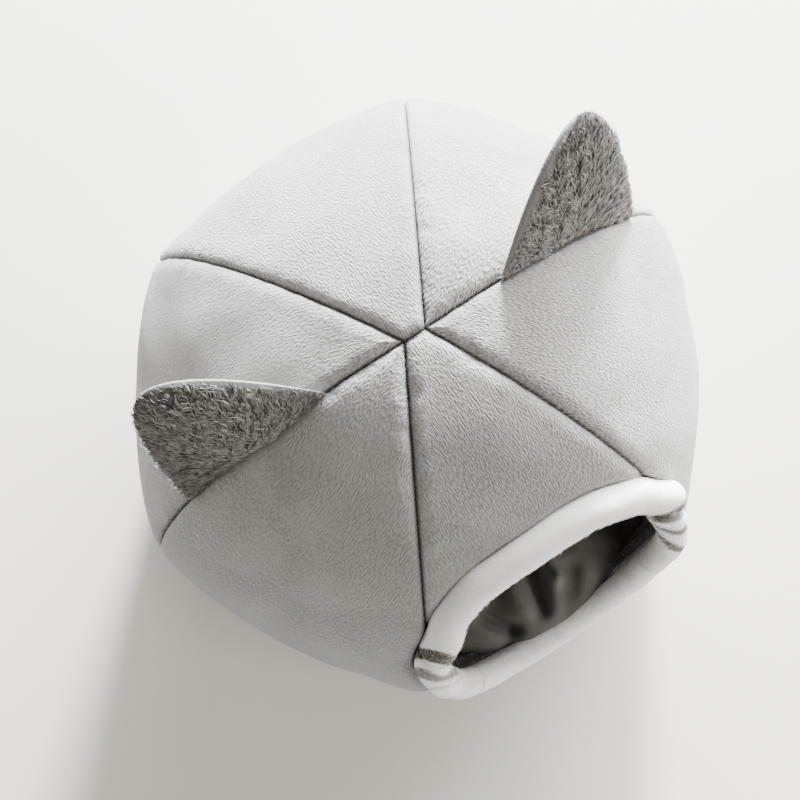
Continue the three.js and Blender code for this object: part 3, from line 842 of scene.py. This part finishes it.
def fold_height(x, y):
    """Sum over the folds of height * exp(-(distance to the fold's line / width)^2)."""
    total = np.zeros(x.shape)
    for (x0, y0), (x1, y1), height, width in FOLDS:
        ax, ay = x1 - x0, y1 - y0
        t = np.clip(((x - x0) * ax + (y - y0) * ay) / (ax**2 + ay**2), 0, 1)
        distance = np.hypot(x - x0 - t * ax, y - y0 - t * ay)
        total += height * np.exp(-((distance / width) ** 2))
    return total


def eased(share):
    """A step from 0 to 1 with soft ends: 3 s^2 - 2 s^3, held at both sides."""
    share = np.clip(share, 0, 1)
    return share * share * (3 - 2 * share)


def shape_cushion(piece):
    """After the simulation: pushed out over the sill, the folds, small creases round the rim, and
    a flat underside."""
    points = read_points(piece)
    x, y, z = points.T
    ring = cushion_outline()
    ring_angle = np.degrees(np.arctan2(ring[:, 1], ring[:, 0])) % 360
    order = np.argsort(ring_angle)
    angle = np.degrees(np.arctan2(y, x)) % 360
    reach = np.interp(angle, ring_angle[order], np.hypot(*ring.T)[order], period=360)
    share = np.maximum(np.hypot(x, y) / reach, 1e-6)
    off = np.abs(angle - DOOR_ANGLE)
    in_door = eased((LIP_HALF - off) / LIP_FADE) * eased((share - LIP_FROM) / LIP_OVER)
    edge = np.quantile(share[(off < EDGE_HALF) & (z > EDGE_LOW)], EDGE_SHARE)
    further = LIP_MIDDLE - LIP_SIDES * (off / EDGE_HALF) ** 2 - edge
    push = in_door * eased((z - LIP_LOW) / LIP_GROWS) * further
    points[:, :2] *= ((share + push) / share)[:, None]
    x, y, z = points.T
    rim = np.exp(-((np.hypot(x, y) - CREASE_MIDDLE) / CREASE_BAND) ** 2)
    creases = CREASE_HEIGHT * waves(x, y, *CREASE_LENGTHS, 51) * rim
    folds = fold_height(x, y) * (1 - FLATTER * eased((share + push - FLATTER_FROM) / FLATTER_OVER))
    on_top = np.clip((z - TOP_LOW) / TOP_GROWS, 0, 1)
    points[:, 2] = np.maximum(z + on_top * (folds + creases + LIP_RISE * in_door), CUSHION_FLOOR)
    write_points(piece, points)


cushion_points, cushion_faces = cushion_start()
cushion = put_mesh("cushion_filled", cushion_points, cushion_faces, DARK_CLOTH)
inflate(cushion)
subdivide(cushion)
shape_cushion(cushion)
cushion.data.shade_smooth()
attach(cushion, "root")
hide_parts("cushion")


# The roll round the doorway: a tube of short white plush stuffed with fibre, sewn to the edge of
# the doorway. At both sides it is pieced with cloth that has mottled grey stripes, and the upper
# roll's right end is cut square and stands over the striped piece.
ROLL_TOP, ROLL_BOTTOM = 0.0122, 0.0102  # radius to the cloth, without the pile
ROLL_SIDES = 36
ROLL_JOIN = 0.12  # degrees left free at each end of a piece
ROLL_LUMPS, ROLL_LUMP_LENGTHS = 0.03, (0.02, 0.07)  # share of the radius, and metres
ROLL_CLOSING = 0.0022  # over which an end closes in
ROLL_END, ROLL_OPENING = 0.72, 0.28  # share of the radius at an end, and what it grows by
# name, slot, angles round the doorway from its +X side, rows, locks and the random seed
ROLLS = (("roll_upper", "white_plush", 21, 152, 150, 9500, 61),
         ("roll_end_left", "striped_plush", 152, 214, 44, 3000, 62),
         ("roll_lower", "white_plush", 214, 326, 120, 7500, 63),
         ("roll_end_right", "striped_plush", -34, 25, 44, 3600, 64))
PILE_CLEAR = 0.6  # degrees from an end of a piece to its first lock
PILE_TURNS = (-0.3 * np.pi, 1.25 * np.pi)  # the turns round the roll that show
PILE_LENGTH, PILE_WIDTH, PILE_CURL = 0.0023, 0.00052, 0.15
PILE_LENGTHS, PILE_WIDTHS = (0.7, 1.15), (0.7, 1.3)  # least and most, as shares
# mean and spread of the way that it lies: along the roll, in towards the doorway, and down
LIES_ALONG, LIES_IN, LIES_DOWN = (0.0, 0.35), (0.9, 0.25), (0.3, 0.3)
FRINGE_TURN, FRINGE_WIDTH, FRINGE_MOST = 2.8, 0.5, 1.3  # where and by how much it is longer
GREY_STRAY, GREY_SHARES = 0.9, (0.2, 1.0)  # degrees that a lock's grey strays, and its strength
PILE_STEPS, PILE_CLOTH = (0.0, 0.5), 0.7  # the cloth is as pale as a lock that far up
LOCK_SIDES, LOCK_SINK, LOCK_RISE = 3, 0.0006, 0.55
LOOSE_FROM, LOOSE_OUT = 36, 1.57e-4  # the upper roll's right end, in degrees and metres
LOOSE_POWER, LOOSE_UP = 1.5, 0.3
# stripes of mottled grey: where each one crosses the roll's outer side, its face and its inner
# side in degrees round the doorway, its half width, how grey it is and the turn it starts at
STRIPES = ((155, 146, 156, 3.8, 1.0, -9), (166.5, 159, 173, 3.0, 0.85, -9),
           (178, 168.5, 181, 0.7, 0.6, -9), (17, 20.5, 27, 3.0, 0.9, -9),
           (12, 8, 19, 2.0, 1.0, -9), (-12, -9, 5, 3.6, 1.0, 1.55))
STRIPE_EDGE, STRIPE_FADE = 0.5, 0.9  # degrees past its half width to a stripe's end, and over which it fades


def roll_line(degrees):
    """The upper roll's middle line. Its right end leaves the doorway's line outwards and a
    little up, by the way along it to a power, and lies over the striped piece."""
    middle, _, side, up = frame_along(door_line, degrees)
    out = LOOSE_OUT * np.maximum(LOOSE_FROM - degrees, 0)[..., None] ** LOOSE_POWER
    return middle + out * (side + LOOSE_UP * up)


def roll_frame(degrees, loose=False):
    """Middle, direction, side and up of a roll, as frame_along()."""
    return frame_along(roll_line if loose else door_line, degrees)


def greyness(degrees, turn):
    """How grey the plush is: the strongest of the stripes, each of them full within its half
    width of its middle line a (1 + cos t) / 2 + c (1 - cos t) / 2 + (b - (a + c) / 2) sin t, which
    is at a on the roll's outer side, at b on its face and at c on its inner side."""
    grey = np.zeros(np.broadcast(degrees, turn).shape)
    for outer, face, inner, half, depth, first in STRIPES:
        middle = (outer + inner) / 2 + (outer - inner) / 2 * np.cos(turn)
        middle = middle + (face - (outer + inner) / 2) * np.sin(turn)
        share = eased((half + STRIPE_EDGE - np.abs(degrees - middle)) / STRIPE_FADE) * (turn > first)
        grey = np.maximum(grey, depth * share)
    return grey


def roll_point(degrees, turn, start, end, loose=False):
    """The cloth of a roll: middle + radius (cos(turn) side + sin(turn) up). The radius has soft
    lumps from the filling, and closes in like a quarter circle at both ends of the piece."""
    middle, _, side, up = roll_frame(degrees, loose)
    radius = by_height(middle[..., 2], ROLL_TOP, ROLL_BOTTOM)
    run = np.radians(degrees) * DOOR_HALF_WIDTH
    radius = radius * (1 + ROLL_LUMPS * waves(run, turn * radius, *ROLL_LUMP_LENGTHS, 71))
    to_end = np.radians(np.minimum(degrees - start, end - degrees)) * DOOR_HALF_WIDTH
    closing = np.clip(to_end / ROLL_CLOSING, 0, 1)
    radius = radius * (ROLL_END + ROLL_OPENING * np.sqrt(1 - (1 - closing) ** 2))
    around = np.cos(turn)[..., None] * side + np.sin(turn)[..., None] * up
    return middle + around * radius[..., None]


def normals_of(point_at_uv, u, v, step_u, step_v, outwards):
    """Normals of a surface on the side that outwards points to, from the cross product of its
    steps along u and along v."""
    a = point_at_uv(u + step_u, v) - point_at_uv(u - step_u, v)
    b = point_at_uv(u, v + step_v) - point_at_uv(u, v - step_v)
    normal = unit(np.cross(a, b))
    return normal * np.sign((normal * outwards).sum(1, keepdims=True))


def laid_flat(lay, normal):
    """Directions made square to the normal, each one long."""
    return unit(lay - normal * (lay * normal).sum(1, keepdims=True))


def lock_mesh(root, normal, lay, length, width, curl, steps, wave=0.0):
    """Locks of pile as thin bent cones. The middle line leaves the root along the normal, bends
    over towards the lay, curls to one side and waves: root + length (rise (q - q^2 / 2) normal +
    ((1 - rise / 2) q^2 + q / 4) lay + (curl q^2 + wave sgn(curl) sin(7 q)) side). Each has a ring
    of points at every step, a pointed tip and a closed root below the cloth."""
    count = len(root)
    side = unit(np.cross(normal, lay))
    over = unit(np.cross(side, normal + lay))

    def middle(q):
        """The middle lines at q of their length."""
        return (root - normal * LOCK_SINK + length[:, None] * (
            LOCK_RISE * (q - q**2 / 2) * normal + ((1 - LOCK_RISE / 2) * q**2 + q / 4) * lay
            + (curl * q**2 + wave * np.sign(curl) * np.sin(7 * q))[:, None] * side))

    around = np.arange(LOCK_SIDES) / LOCK_SIDES * 2 * np.pi
    ring = np.cos(around)[:, None] * side[:, None] + np.sin(around)[:, None] * over[:, None]
    rings = [middle(q)[:, None] + (width / 2 * (1 - 0.55 * q))[:, None, None] * ring for q in steps]
    points = np.concatenate([np.stack(rings, 1).reshape(count, -1, 3), middle(1.0)[:, None]], 1)
    each = points.shape[1]
    j = np.arange(LOCK_SIDES)
    quads = cells(np.ones((len(steps) - 1, LOCK_SIDES), bool), LOCK_SIDES)
    last = (len(steps) - 1) * LOCK_SIDES
    tips = np.stack([last + j, last + (j + 1) % LOCK_SIDES, np.full(LOCK_SIDES, each - 1)], -1)
    offset = np.arange(count)[:, None, None] * each
    faces = [(f + offset).reshape(-1, f.shape[1]) for f in (quads, tips, j[::-1][None])]
    along = np.concatenate([np.repeat(steps, LOCK_SIDES), [1.0]])
    return points.reshape(-1, 3), faces, np.tile(along, count), each


def joined(parts):
    """Several meshes as one: each is (points, faces, uv)."""
    points, faces, uv, before = [], [], [], 0
    for part_points, part_faces, part_uv in parts:
        points.append(part_points)
        uv.append(part_uv)
        faces += [f + before for f in part_faces]
        before += len(part_points)
    return np.concatenate(points), faces, np.concatenate(uv)


def plush(name, root_colour, tip_colour, gap_shade=False):
    """Plush. V of its UV is the place along a lock, from its dark root to its pale tip: the darker
    root is painted shade deep in the pile. U is how grey it is, or for the ears, chance for each
    lock, which makes some locks darker as painted shade in the gaps between them."""
    material, tree, surface = new_material(name)
    coordinates = node(tree, "ShaderNodeTexCoord")
    split = node(tree, "ShaderNodeSeparateXYZ", {0: coordinates.outputs["UV"]})
    patch = noise(tree, coordinates.outputs["Object"], 160.0, 3.0)
    fine = noise(tree, coordinates.outputs["Object"], 1500.0, 2.0)
    share = maths(tree, "MULTIPLY_ADD", patch, 0.5, split.outputs[1])
    colour = blended(tree, ramp(tree, share, 0.35, 1.15), root_colour, tip_colour)
    # for the ears, painted shade: some locks darker, for the shade in the gaps between them; otherwise the
    # grey of the stripes
    darker = ramp(tree, split.outputs[0], 0.35, 0.95, 0.0, 0.70) if gap_shade else split.outputs[0]
    colour = blended(tree, darker, colour, root_colour if gap_shade else STRIPE_COLOUR)
    shader = node(tree, "ShaderNodeBsdfPrincipled", {
        "Base Color": colour, "Roughness": 0.9, "Normal": bumped(tree, 0.3, FINE_PILE, fine),
        "Sheen Weight": 0.25, "Sheen Roughness": 0.5, "Sheen Tint": (1.0, 1.0, 1.0),
        "Specular IOR Level": 0.2})
    tree.links.new(shader.outputs[0], surface)
    return material


STRIPE_COLOUR = (0.065, 0.058, 0.048)
ROLL_PLUSH = {"white_plush": plush("white_plush", (0.91, 0.908, 0.905), (0.97, 0.97, 0.97)),
              "striped_plush": plush("striped_plush", (0.78, 0.77, 0.75), (0.94, 0.935, 0.93))}


def roll_pile(start, end, locks, seed, loose):
    """The pile on the side of a roll that shows. It leans in towards the doorway and is
    longest as a fringe over its edge. It is as grey as the cloth under it, more or less."""
    chance = np.random.default_rng(seed)
    degrees = chance.uniform(start + PILE_CLEAR, end - PILE_CLEAR, locks)
    turn = chance.uniform(*PILE_TURNS, locks)

    def surface(d, t):
        """The roll's cloth at places along and round it."""
        return roll_point(d, t, start, end, loose)

    root = surface(degrees, turn)
    middle, along, side, up = roll_frame(degrees, loose)
    normal = normals_of(surface, degrees, turn, 0.2, 0.05, root - middle)
    lay = along * chance.normal(*LIES_ALONG, (locks, 1)) - side * chance.normal(*LIES_IN, (locks, 1))
    lay -= up * chance.normal(*LIES_DOWN, (locks, 1))
    at_fringe = np.exp(-(((turn - FRINGE_TURN) / FRINGE_WIDTH) ** 2))
    fringe = 1 + chance.uniform(0, FRINGE_MOST, locks) ** 2 * at_fringe
    length = PILE_LENGTH * chance.uniform(*PILE_LENGTHS, locks) * fringe
    width = PILE_WIDTH * chance.uniform(*PILE_WIDTHS, locks)
    curl = chance.normal(0, PILE_CURL, locks)
    lay = laid_flat(lay, normal)
    points, faces, q, each = lock_mesh(root, normal, lay, length, width, curl, PILE_STEPS)
    grey = greyness(degrees + chance.normal(0, GREY_STRAY, locks), turn)
    grey = grey * chance.uniform(*GREY_SHARES, locks)
    return points, faces, np.stack([np.repeat(grey, each), 0.5 + 0.5 * q], -1)


def make_roll(name, slot, start, end, rows, locks, seed):
    """The cloth tube of a roll and its pile. The tube's rows are closer together at its ends."""
    start, end = start + ROLL_JOIN, end - ROLL_JOIN
    loose = name == "roll_upper"
    even = np.linspace(0, 1, rows)
    spread = start + (end - start) * (0.8 * even + 0.2 * (1 - np.cos(np.pi * even)) / 2)
    turn, degrees = np.meshgrid(np.arange(ROLL_SIDES) / ROLL_SIDES * 2 * np.pi, spread)
    tube, tube_faces = capped_tube(roll_point(degrees, turn, start, end, loose))
    tube_uv = np.stack([greyness(degrees, turn).ravel(), np.full(degrees.size, PILE_CLOTH)], -1)
    points, faces, uv = joined([(tube, tube_faces, tube_uv), roll_pile(start, end, locks, seed, loose)])
    piece = put_mesh(name + "_plush", points, faces, ROLL_PLUSH[slot], uv, sharp_above=80)
    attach(piece, "root")
    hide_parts(name)


for roll_row in ROLLS:
    make_roll(*roll_row)


# The ears: stuffed triangles with full sides and a round tip, sewn upright into the two side
# seams and leaning back. The front is long curly grey plush. The back is smooth velvet, darker
# than the dome's as painted shade, and comes round the edge on the crown's side as a plain strip,
# where the plush is trimmed back.
EAR_INNER, EAR_OUTER = 0.275, 0.785  # ends of the foot on the seam, as shares of RADIUS
EAR_HEIGHT, EAR_SINK = 0.093, 0.12  # metres for each 1 of the place up the ear, above its foot and below it
EAR_SKEW, EAR_TAPER, EAR_LEAN = -0.07, 0.53, 32.0
EAR_FRONT, EAR_BACK = 0.0105, 0.007  # depth of the stuffing before and behind the edge seam
FOOT_DEPTH, FULL_FROM, EAR_TIP = 0.45, 0.35, 0.0008
EAR_RIDGE = -0.34  # where the fold runs, from -1 at the crown's edge to 1 at the outer edge
ROOF_POWER, LENS_POWER = 1.3, 0.8  # of the front when it is folded, and of a plain half
ROOM_FADE = 0.3  # share of the height over which the outer side's room runs out, up to the tip
FOOT_LOWEST, FOOT_HIGHEST = -0.35, 0.6  # places up the ear between which it meets the dome
EAR_ROWS = 60
FRONT_COLUMNS, BACK_COLUMNS, STRIP_COLUMNS, EDGE_COLUMNS, SEAM_COLUMNS = 40, 36, 9, 5, 20
EDGE_TURN = 0.02  # how far round the back keeps from the front's wall
THIN = 1e-9  # no depth, but its sign tells the front from the back
CLEAR_OF_DOME = 0.0006
EAR_LOCKS = 5000
LOCK_LENGTH, LOCK_WIDTH, LOCK_WAVE = 0.0080, 0.00108, 0.10
LOCK_STEPS = (0.0, 0.2, 0.4, 0.6, 0.8)
LOCK_LENGTHS, LOCK_WIDTHS, LOCK_CURL = (0.7, 1.1), (0.75, 1.2), 0.16
LEVEL_SHARE, LEVEL_END = 0.6, 0.999  # share of the locks spread evenly over the width, and its ends
LOCKS_UP, LOCKS_SHORT = 0.01, 0.02  # how far the locks keep from the dome and from the strip
FAN_OUT, FAN_FOOT, FAN_UP, FAN_STRAY = 1.1, 0.35, 1.3, 0.17  # out and up from the foot, and spread
TUFT_TURN, TUFT_TURN_LENGTHS = 0.42, (0.009, 0.022)
TUFT_LENGTH, TUFT_LENGTHS, TUFT_LIMITS = 0.22, (0.004, 0.008), (0.6, 1.3)
# painted shade: the cloth under the ear's locks is coloured dark
SHADED_CLOTH_UV = (0.3, 0.32)  # the cloth under the locks is as dark as a third of the way up them
# name, side, seam it stands on, width of the strip of velvet, how much fuller the outer side is,
# how much deeper the front is, how far it is folded along a ridge, and its seed
EARS = (("left", -1, 3, 0.0032, -0.0026, 1.75, 0.9, 81), ("right", 1, 0, 0.0066, 0.0020, 1.0, 0.0, 82))
# an ear as ear_frame() works it out
Ear = namedtuple("Ear", "seam foot half along rise facing strip outer_room deeper folded")


def ear_frame(side, seam, *shape):
    """An ear with its seam, the middle of its foot, its half width, and the directions along the
    foot, up the ear and forward: the foot's chord, and the upright and -Y both turned back about
    it by the lean. The four numbers of its shape come last, in their order in EARS."""
    shares = np.array([EAR_INNER, EAR_OUTER])
    inner, outer = dome_point(seam, 0.0, 1 - np.arccos(shares) / (np.pi / 2))
    along = outer - inner
    half = np.linalg.norm(along) / 2
    along /= 2 * half
    upright = side * np.cross(along, [0, 1, 0])
    lean = np.radians(-side * EAR_LEAN)
    c, s = np.cos(lean), np.sin(lean)
    rise, facing = [v * c + np.cross(along, v) * s + along * (along @ v) * (1 - c)
                    for v in (upright, np.array([0.0, -1.0, 0.0]))]
    return Ear(seam, (inner + outer) / 2, half, along, rise, facing, *shape)


def ear_reach(ear, up):
    """Half width of an ear at a share of its height, without the skew: half (1 - up)^taper."""
    return np.maximum(ear.half * (1 - up) ** EAR_TAPER, EAR_TIP)


def ear_point(ear, depth, turn, s):
    """The face of an ear's half. Up the ear by s its half width is half (1 - s)^taper, with
    a little more on the outer side, skewed towards the crown. turn goes over it from the
    outer edge at 0 to the crown's edge at pi, as a half lens: depth sin(turn)^0.8 times the soft
    lesser of a share that grows from the foot and sqrt(1 - s^2). The front can be folded along
    a ridge, towards the shape of a roof."""
    up = np.maximum(s, 0)
    reach = ear_reach(ear, up)
    outer = reach + ear.outer_room * np.clip((1 - up) / ROOM_FADE, 0, 1)
    growing = FOOT_DEPTH + (1 - FOOT_DEPTH) * up / FULL_FROM
    filled = (growing**-4 + np.maximum(1 - up**2, 1e-6) ** -2) ** -0.25
    split = np.sign(depth) * GAP / 2
    thick = depth * np.maximum(filled, EAR_TIP / EAR_FRONT) * np.where(depth > 0, ear.deeper, 1)
    x = np.where(np.cos(turn) > 0, outer, reach) * np.cos(turn) + EAR_SKEW * up * ear.half
    from_ridge = np.cos(turn) - EAR_RIDGE
    roof = 1 - np.abs(from_ridge / (1 - EAR_RIDGE * np.sign(from_ridge))) ** ROOF_POWER
    lens = np.maximum(np.sin(turn), 0) ** LENS_POWER
    y = split + thick * np.where(depth > 0, lens + ear.folded * (roof - lens), lens)
    climb = np.where(s < 0, s * EAR_SINK, s * EAR_HEIGHT)
    return ear.foot + x[..., None] * ear.along + climb[..., None] * ear.rise + y[..., None] * ear.facing


def strip_turn(ear, s):
    """The turn at which the plush ends and the strip of velvet starts: the strip is widest half
    way up the ear and runs out at its foot and its tip."""
    up = np.clip(s, 0, 1)
    width = ear.strip * np.sqrt(np.maximum(1 - (2 * up - 1) ** 2, 0.02))
    return np.pi - np.arccos(1 - np.minimum(width / ear_reach(ear, up), 0.9))


def face_over(k, x, y):
    """Height of panel k's creased face over places in plan, and how far across the panel they
    lie, by Newton's rule on the places across and along it. The seam's dip is taken off square to
    the plain dome."""
    across, station = np.full(x.shape, 0.5), np.full(x.shape, 0.5)
    step = 1e-4
    for _ in range(12):
        here = dome_point(k, across, station)
        on_across = (dome_point(k, across + step, station) - here) / step
        on_station = (dome_point(k, across, station + step) - here) / step
        normal = np.cross(on_across, on_station)
        off_x, off_y = x - here[..., 0], y - here[..., 1]
        more = (off_x * on_station[..., 1] - off_y * on_station[..., 0]) / normal[..., 2]
        further = (off_y * on_across[..., 0] - off_x * on_across[..., 1]) / normal[..., 2]
        across = across + np.clip(more, -0.3, 0.3)
        station = np.clip(station + np.clip(further, -0.3, 0.3), 0.02, 0.98)
    upright = np.abs(normal[..., 2]) / np.linalg.norm(normal, axis=-1)
    sunk = drawn_in(np.maximum(from_seam(k, across, station), 0)) - CLEAR_OF_DOME
    return dome_point(k, across, station)[..., 2] - sunk / upright, across


def above_dome(seam, points):
    """How far points are above the dome, on the two panels beside a seam."""
    after, across = face_over(seam, points[..., 0], points[..., 1])
    before, _ = face_over((seam - 1) % len(SEAMS), points[..., 0], points[..., 1])
    return points[..., 2] - np.where(across >= 0, after, before)


def foot_of(ear, depth, first, share):
    """Where columns of an ear leave the dome: the place up the ear, by halving. A column is at
    the turn first + share * the turn at which the strip starts."""

    def in_dome(s):
        """Whether the columns are still below the dome's face at s."""
        turn = first + share * strip_turn(ear, s)
        return above_dome(ear.seam, ear_point(ear, depth, turn, s)) < 0

    lowest, highest = [np.full(np.shape(first), place) for place in (FOOT_LOWEST, FOOT_HIGHEST)]
    return halved(in_dome, lowest, highest, 24)[1]


def ear_columns(front):
    """Columns round an ear's half, as their depth, first turn and share of the strip's turn. The
    front goes over its face to the strip, down the wall there and back on the seam's plane. The
    back goes over its face and on over the strip to that wall."""
    down = 1 - np.arange(EDGE_COLUMNS) / EDGE_COLUMNS
    back_in = 1 - np.arange(SEAM_COLUMNS) / SEAM_COLUMNS
    if front:
        face = np.arange(FRONT_COLUMNS) / FRONT_COLUMNS
        depth = [EAR_FRONT + 0 * face, EAR_FRONT * down, THIN + 0 * back_in]
        first = [0 * face, 0 * down, 0 * back_in]
        share = [face, 1 + 0 * down, back_in]
    else:
        face = np.arange(BACK_COLUMNS) / (BACK_COLUMNS - 1)
        strip = np.arange(1, STRIP_COLUMNS) / STRIP_COLUMNS
        depth = [-EAR_BACK + 0 * face, EAR_FRONT + 0 * strip, EAR_FRONT * down, -THIN + 0 * back_in]
        first = [np.pi * face, np.pi * (1 - strip) + EDGE_TURN * strip, EDGE_TURN + 0 * down,
                 EDGE_TURN * back_in]
        share = [0 * face, strip, 1 + 0 * down, back_in]
    return np.concatenate(depth), np.concatenate(first), np.concatenate(share)


def ear_half(ear, front):
    """The closed body of an ear's half, from the dome to its tip. Its rows are closer together
    towards the tip: s = foot + (1 - foot) sin(even)."""
    depth, first, share = ear_columns(front)
    foot = foot_of(ear, depth, first, share)
    s = foot + (1 - foot) * np.sin(np.linspace(0, np.pi / 2, EAR_ROWS))[:, None]
    return capped_tube(ear_point(ear, depth, first + share * strip_turn(ear, s), s))


# its near-black root colour is painted shade deep in the plush
GREY_PLUSH = plush("grey_plush", (0.022, 0.020, 0.018), (0.35, 0.341, 0.327), gap_shade=True)
# painted shade: the dome's velvet made darker for the ears' backs and strips, with fainter dashes
SHADED_EAR_VELVET = velvet("shaded_ear_velvet", (0.215, 0.213, 0.208), combed=0.25)


def ear_locks(ear, seed):
    """Long wavy locks over the plush of an ear. They fan out upwards from its foot, and wide
    waves turn them together and make them longer and shorter, so that they lie in tufts."""
    chance = np.random.default_rng(seed)
    tries = EAR_LOCKS * 2
    s = 1 - np.sqrt(chance.uniform(0, 1, tries))
    level = np.arccos(chance.uniform(-LEVEL_END, LEVEL_END, tries))
    turn = np.where(chance.uniform(0, 1, tries) < LEVEL_SHARE, level, chance.uniform(0, np.pi, tries))
    turns = np.linspace(0, np.pi, 40)
    dome_at = foot_of(ear, EAR_FRONT, turns, 0 * turns)
    over_dome = s > np.interp(turn, turns, dome_at) + LOCKS_UP
    grows = over_dome & (turn < strip_turn(ear, s) - LOCKS_SHORT)
    picked = np.nonzero(grows)[0][:EAR_LOCKS]
    s, turn = s[picked], turn[picked]
    count = len(s)

    def surface(t, up):
        """The plush's face at places over and up the ear."""
        return ear_point(ear, EAR_FRONT, t, up)

    root = surface(turn, s)
    outwards = ear.facing + 0.2 * ear.along * np.sign(np.cos(turn))[:, None]
    normal = normals_of(surface, turn, s, 0.02, 0.004, outwards)
    x, z = (root - ear.foot) @ ear.along, (root - ear.foot) @ ear.rise
    fan = np.arctan2(FAN_OUT * x / ear.half, FAN_FOOT + FAN_UP * s)
    fan += TUFT_TURN * waves(x, z, *TUFT_TURN_LENGTHS, seed + 1) + chance.normal(0, FAN_STRAY, count)
    lay = laid_flat(ear.along * np.sin(fan)[:, None] + ear.rise * np.cos(fan)[:, None], normal)
    tufts = 1 + TUFT_LENGTH * waves(x, z, *TUFT_LENGTHS, seed + 2)
    length = LOCK_LENGTH * chance.uniform(*LOCK_LENGTHS, count) * np.clip(tufts, *TUFT_LIMITS)
    length *= (0.55 + 0.45 * np.sin(turn)) * (0.6 + 0.4 * np.clip((1 - s) / 0.25, 0, 1))
    width = LOCK_WIDTH * chance.uniform(*LOCK_WIDTHS, count)
    curl = chance.normal(0, LOCK_CURL, count)
    points, faces, q, each = lock_mesh(root, normal, lay, length, width, curl, LOCK_STEPS, LOCK_WAVE)
    return points, faces, np.stack([np.repeat(chance.uniform(0, 1, count), each), q], -1)


for word, side, seam, *shape, seed in EARS:
    ear = ear_frame(side, seam, *shape)
    for half_name, slot in (("front", "grey_plush"), ("back", "velvet")):
        points, faces = ear_half(ear, half_name == "front")
        uv = np.stack([points @ ear.along, points @ ear.rise], -1)
        if half_name == "front":
            plain_uv = np.tile(SHADED_CLOTH_UV, (len(points), 1))
            points, faces, uv = joined([(points, faces, plain_uv), ear_locks(ear, seed)])
        name = f"ear_{word}_{half_name}"
        material = GREY_PLUSH if half_name == "front" else SHADED_EAR_VELVET
        piece = put_mesh(name + "_stuffed", points, faces, material, uv, sharp_above=80)
        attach(piece, "root")
        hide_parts(name)
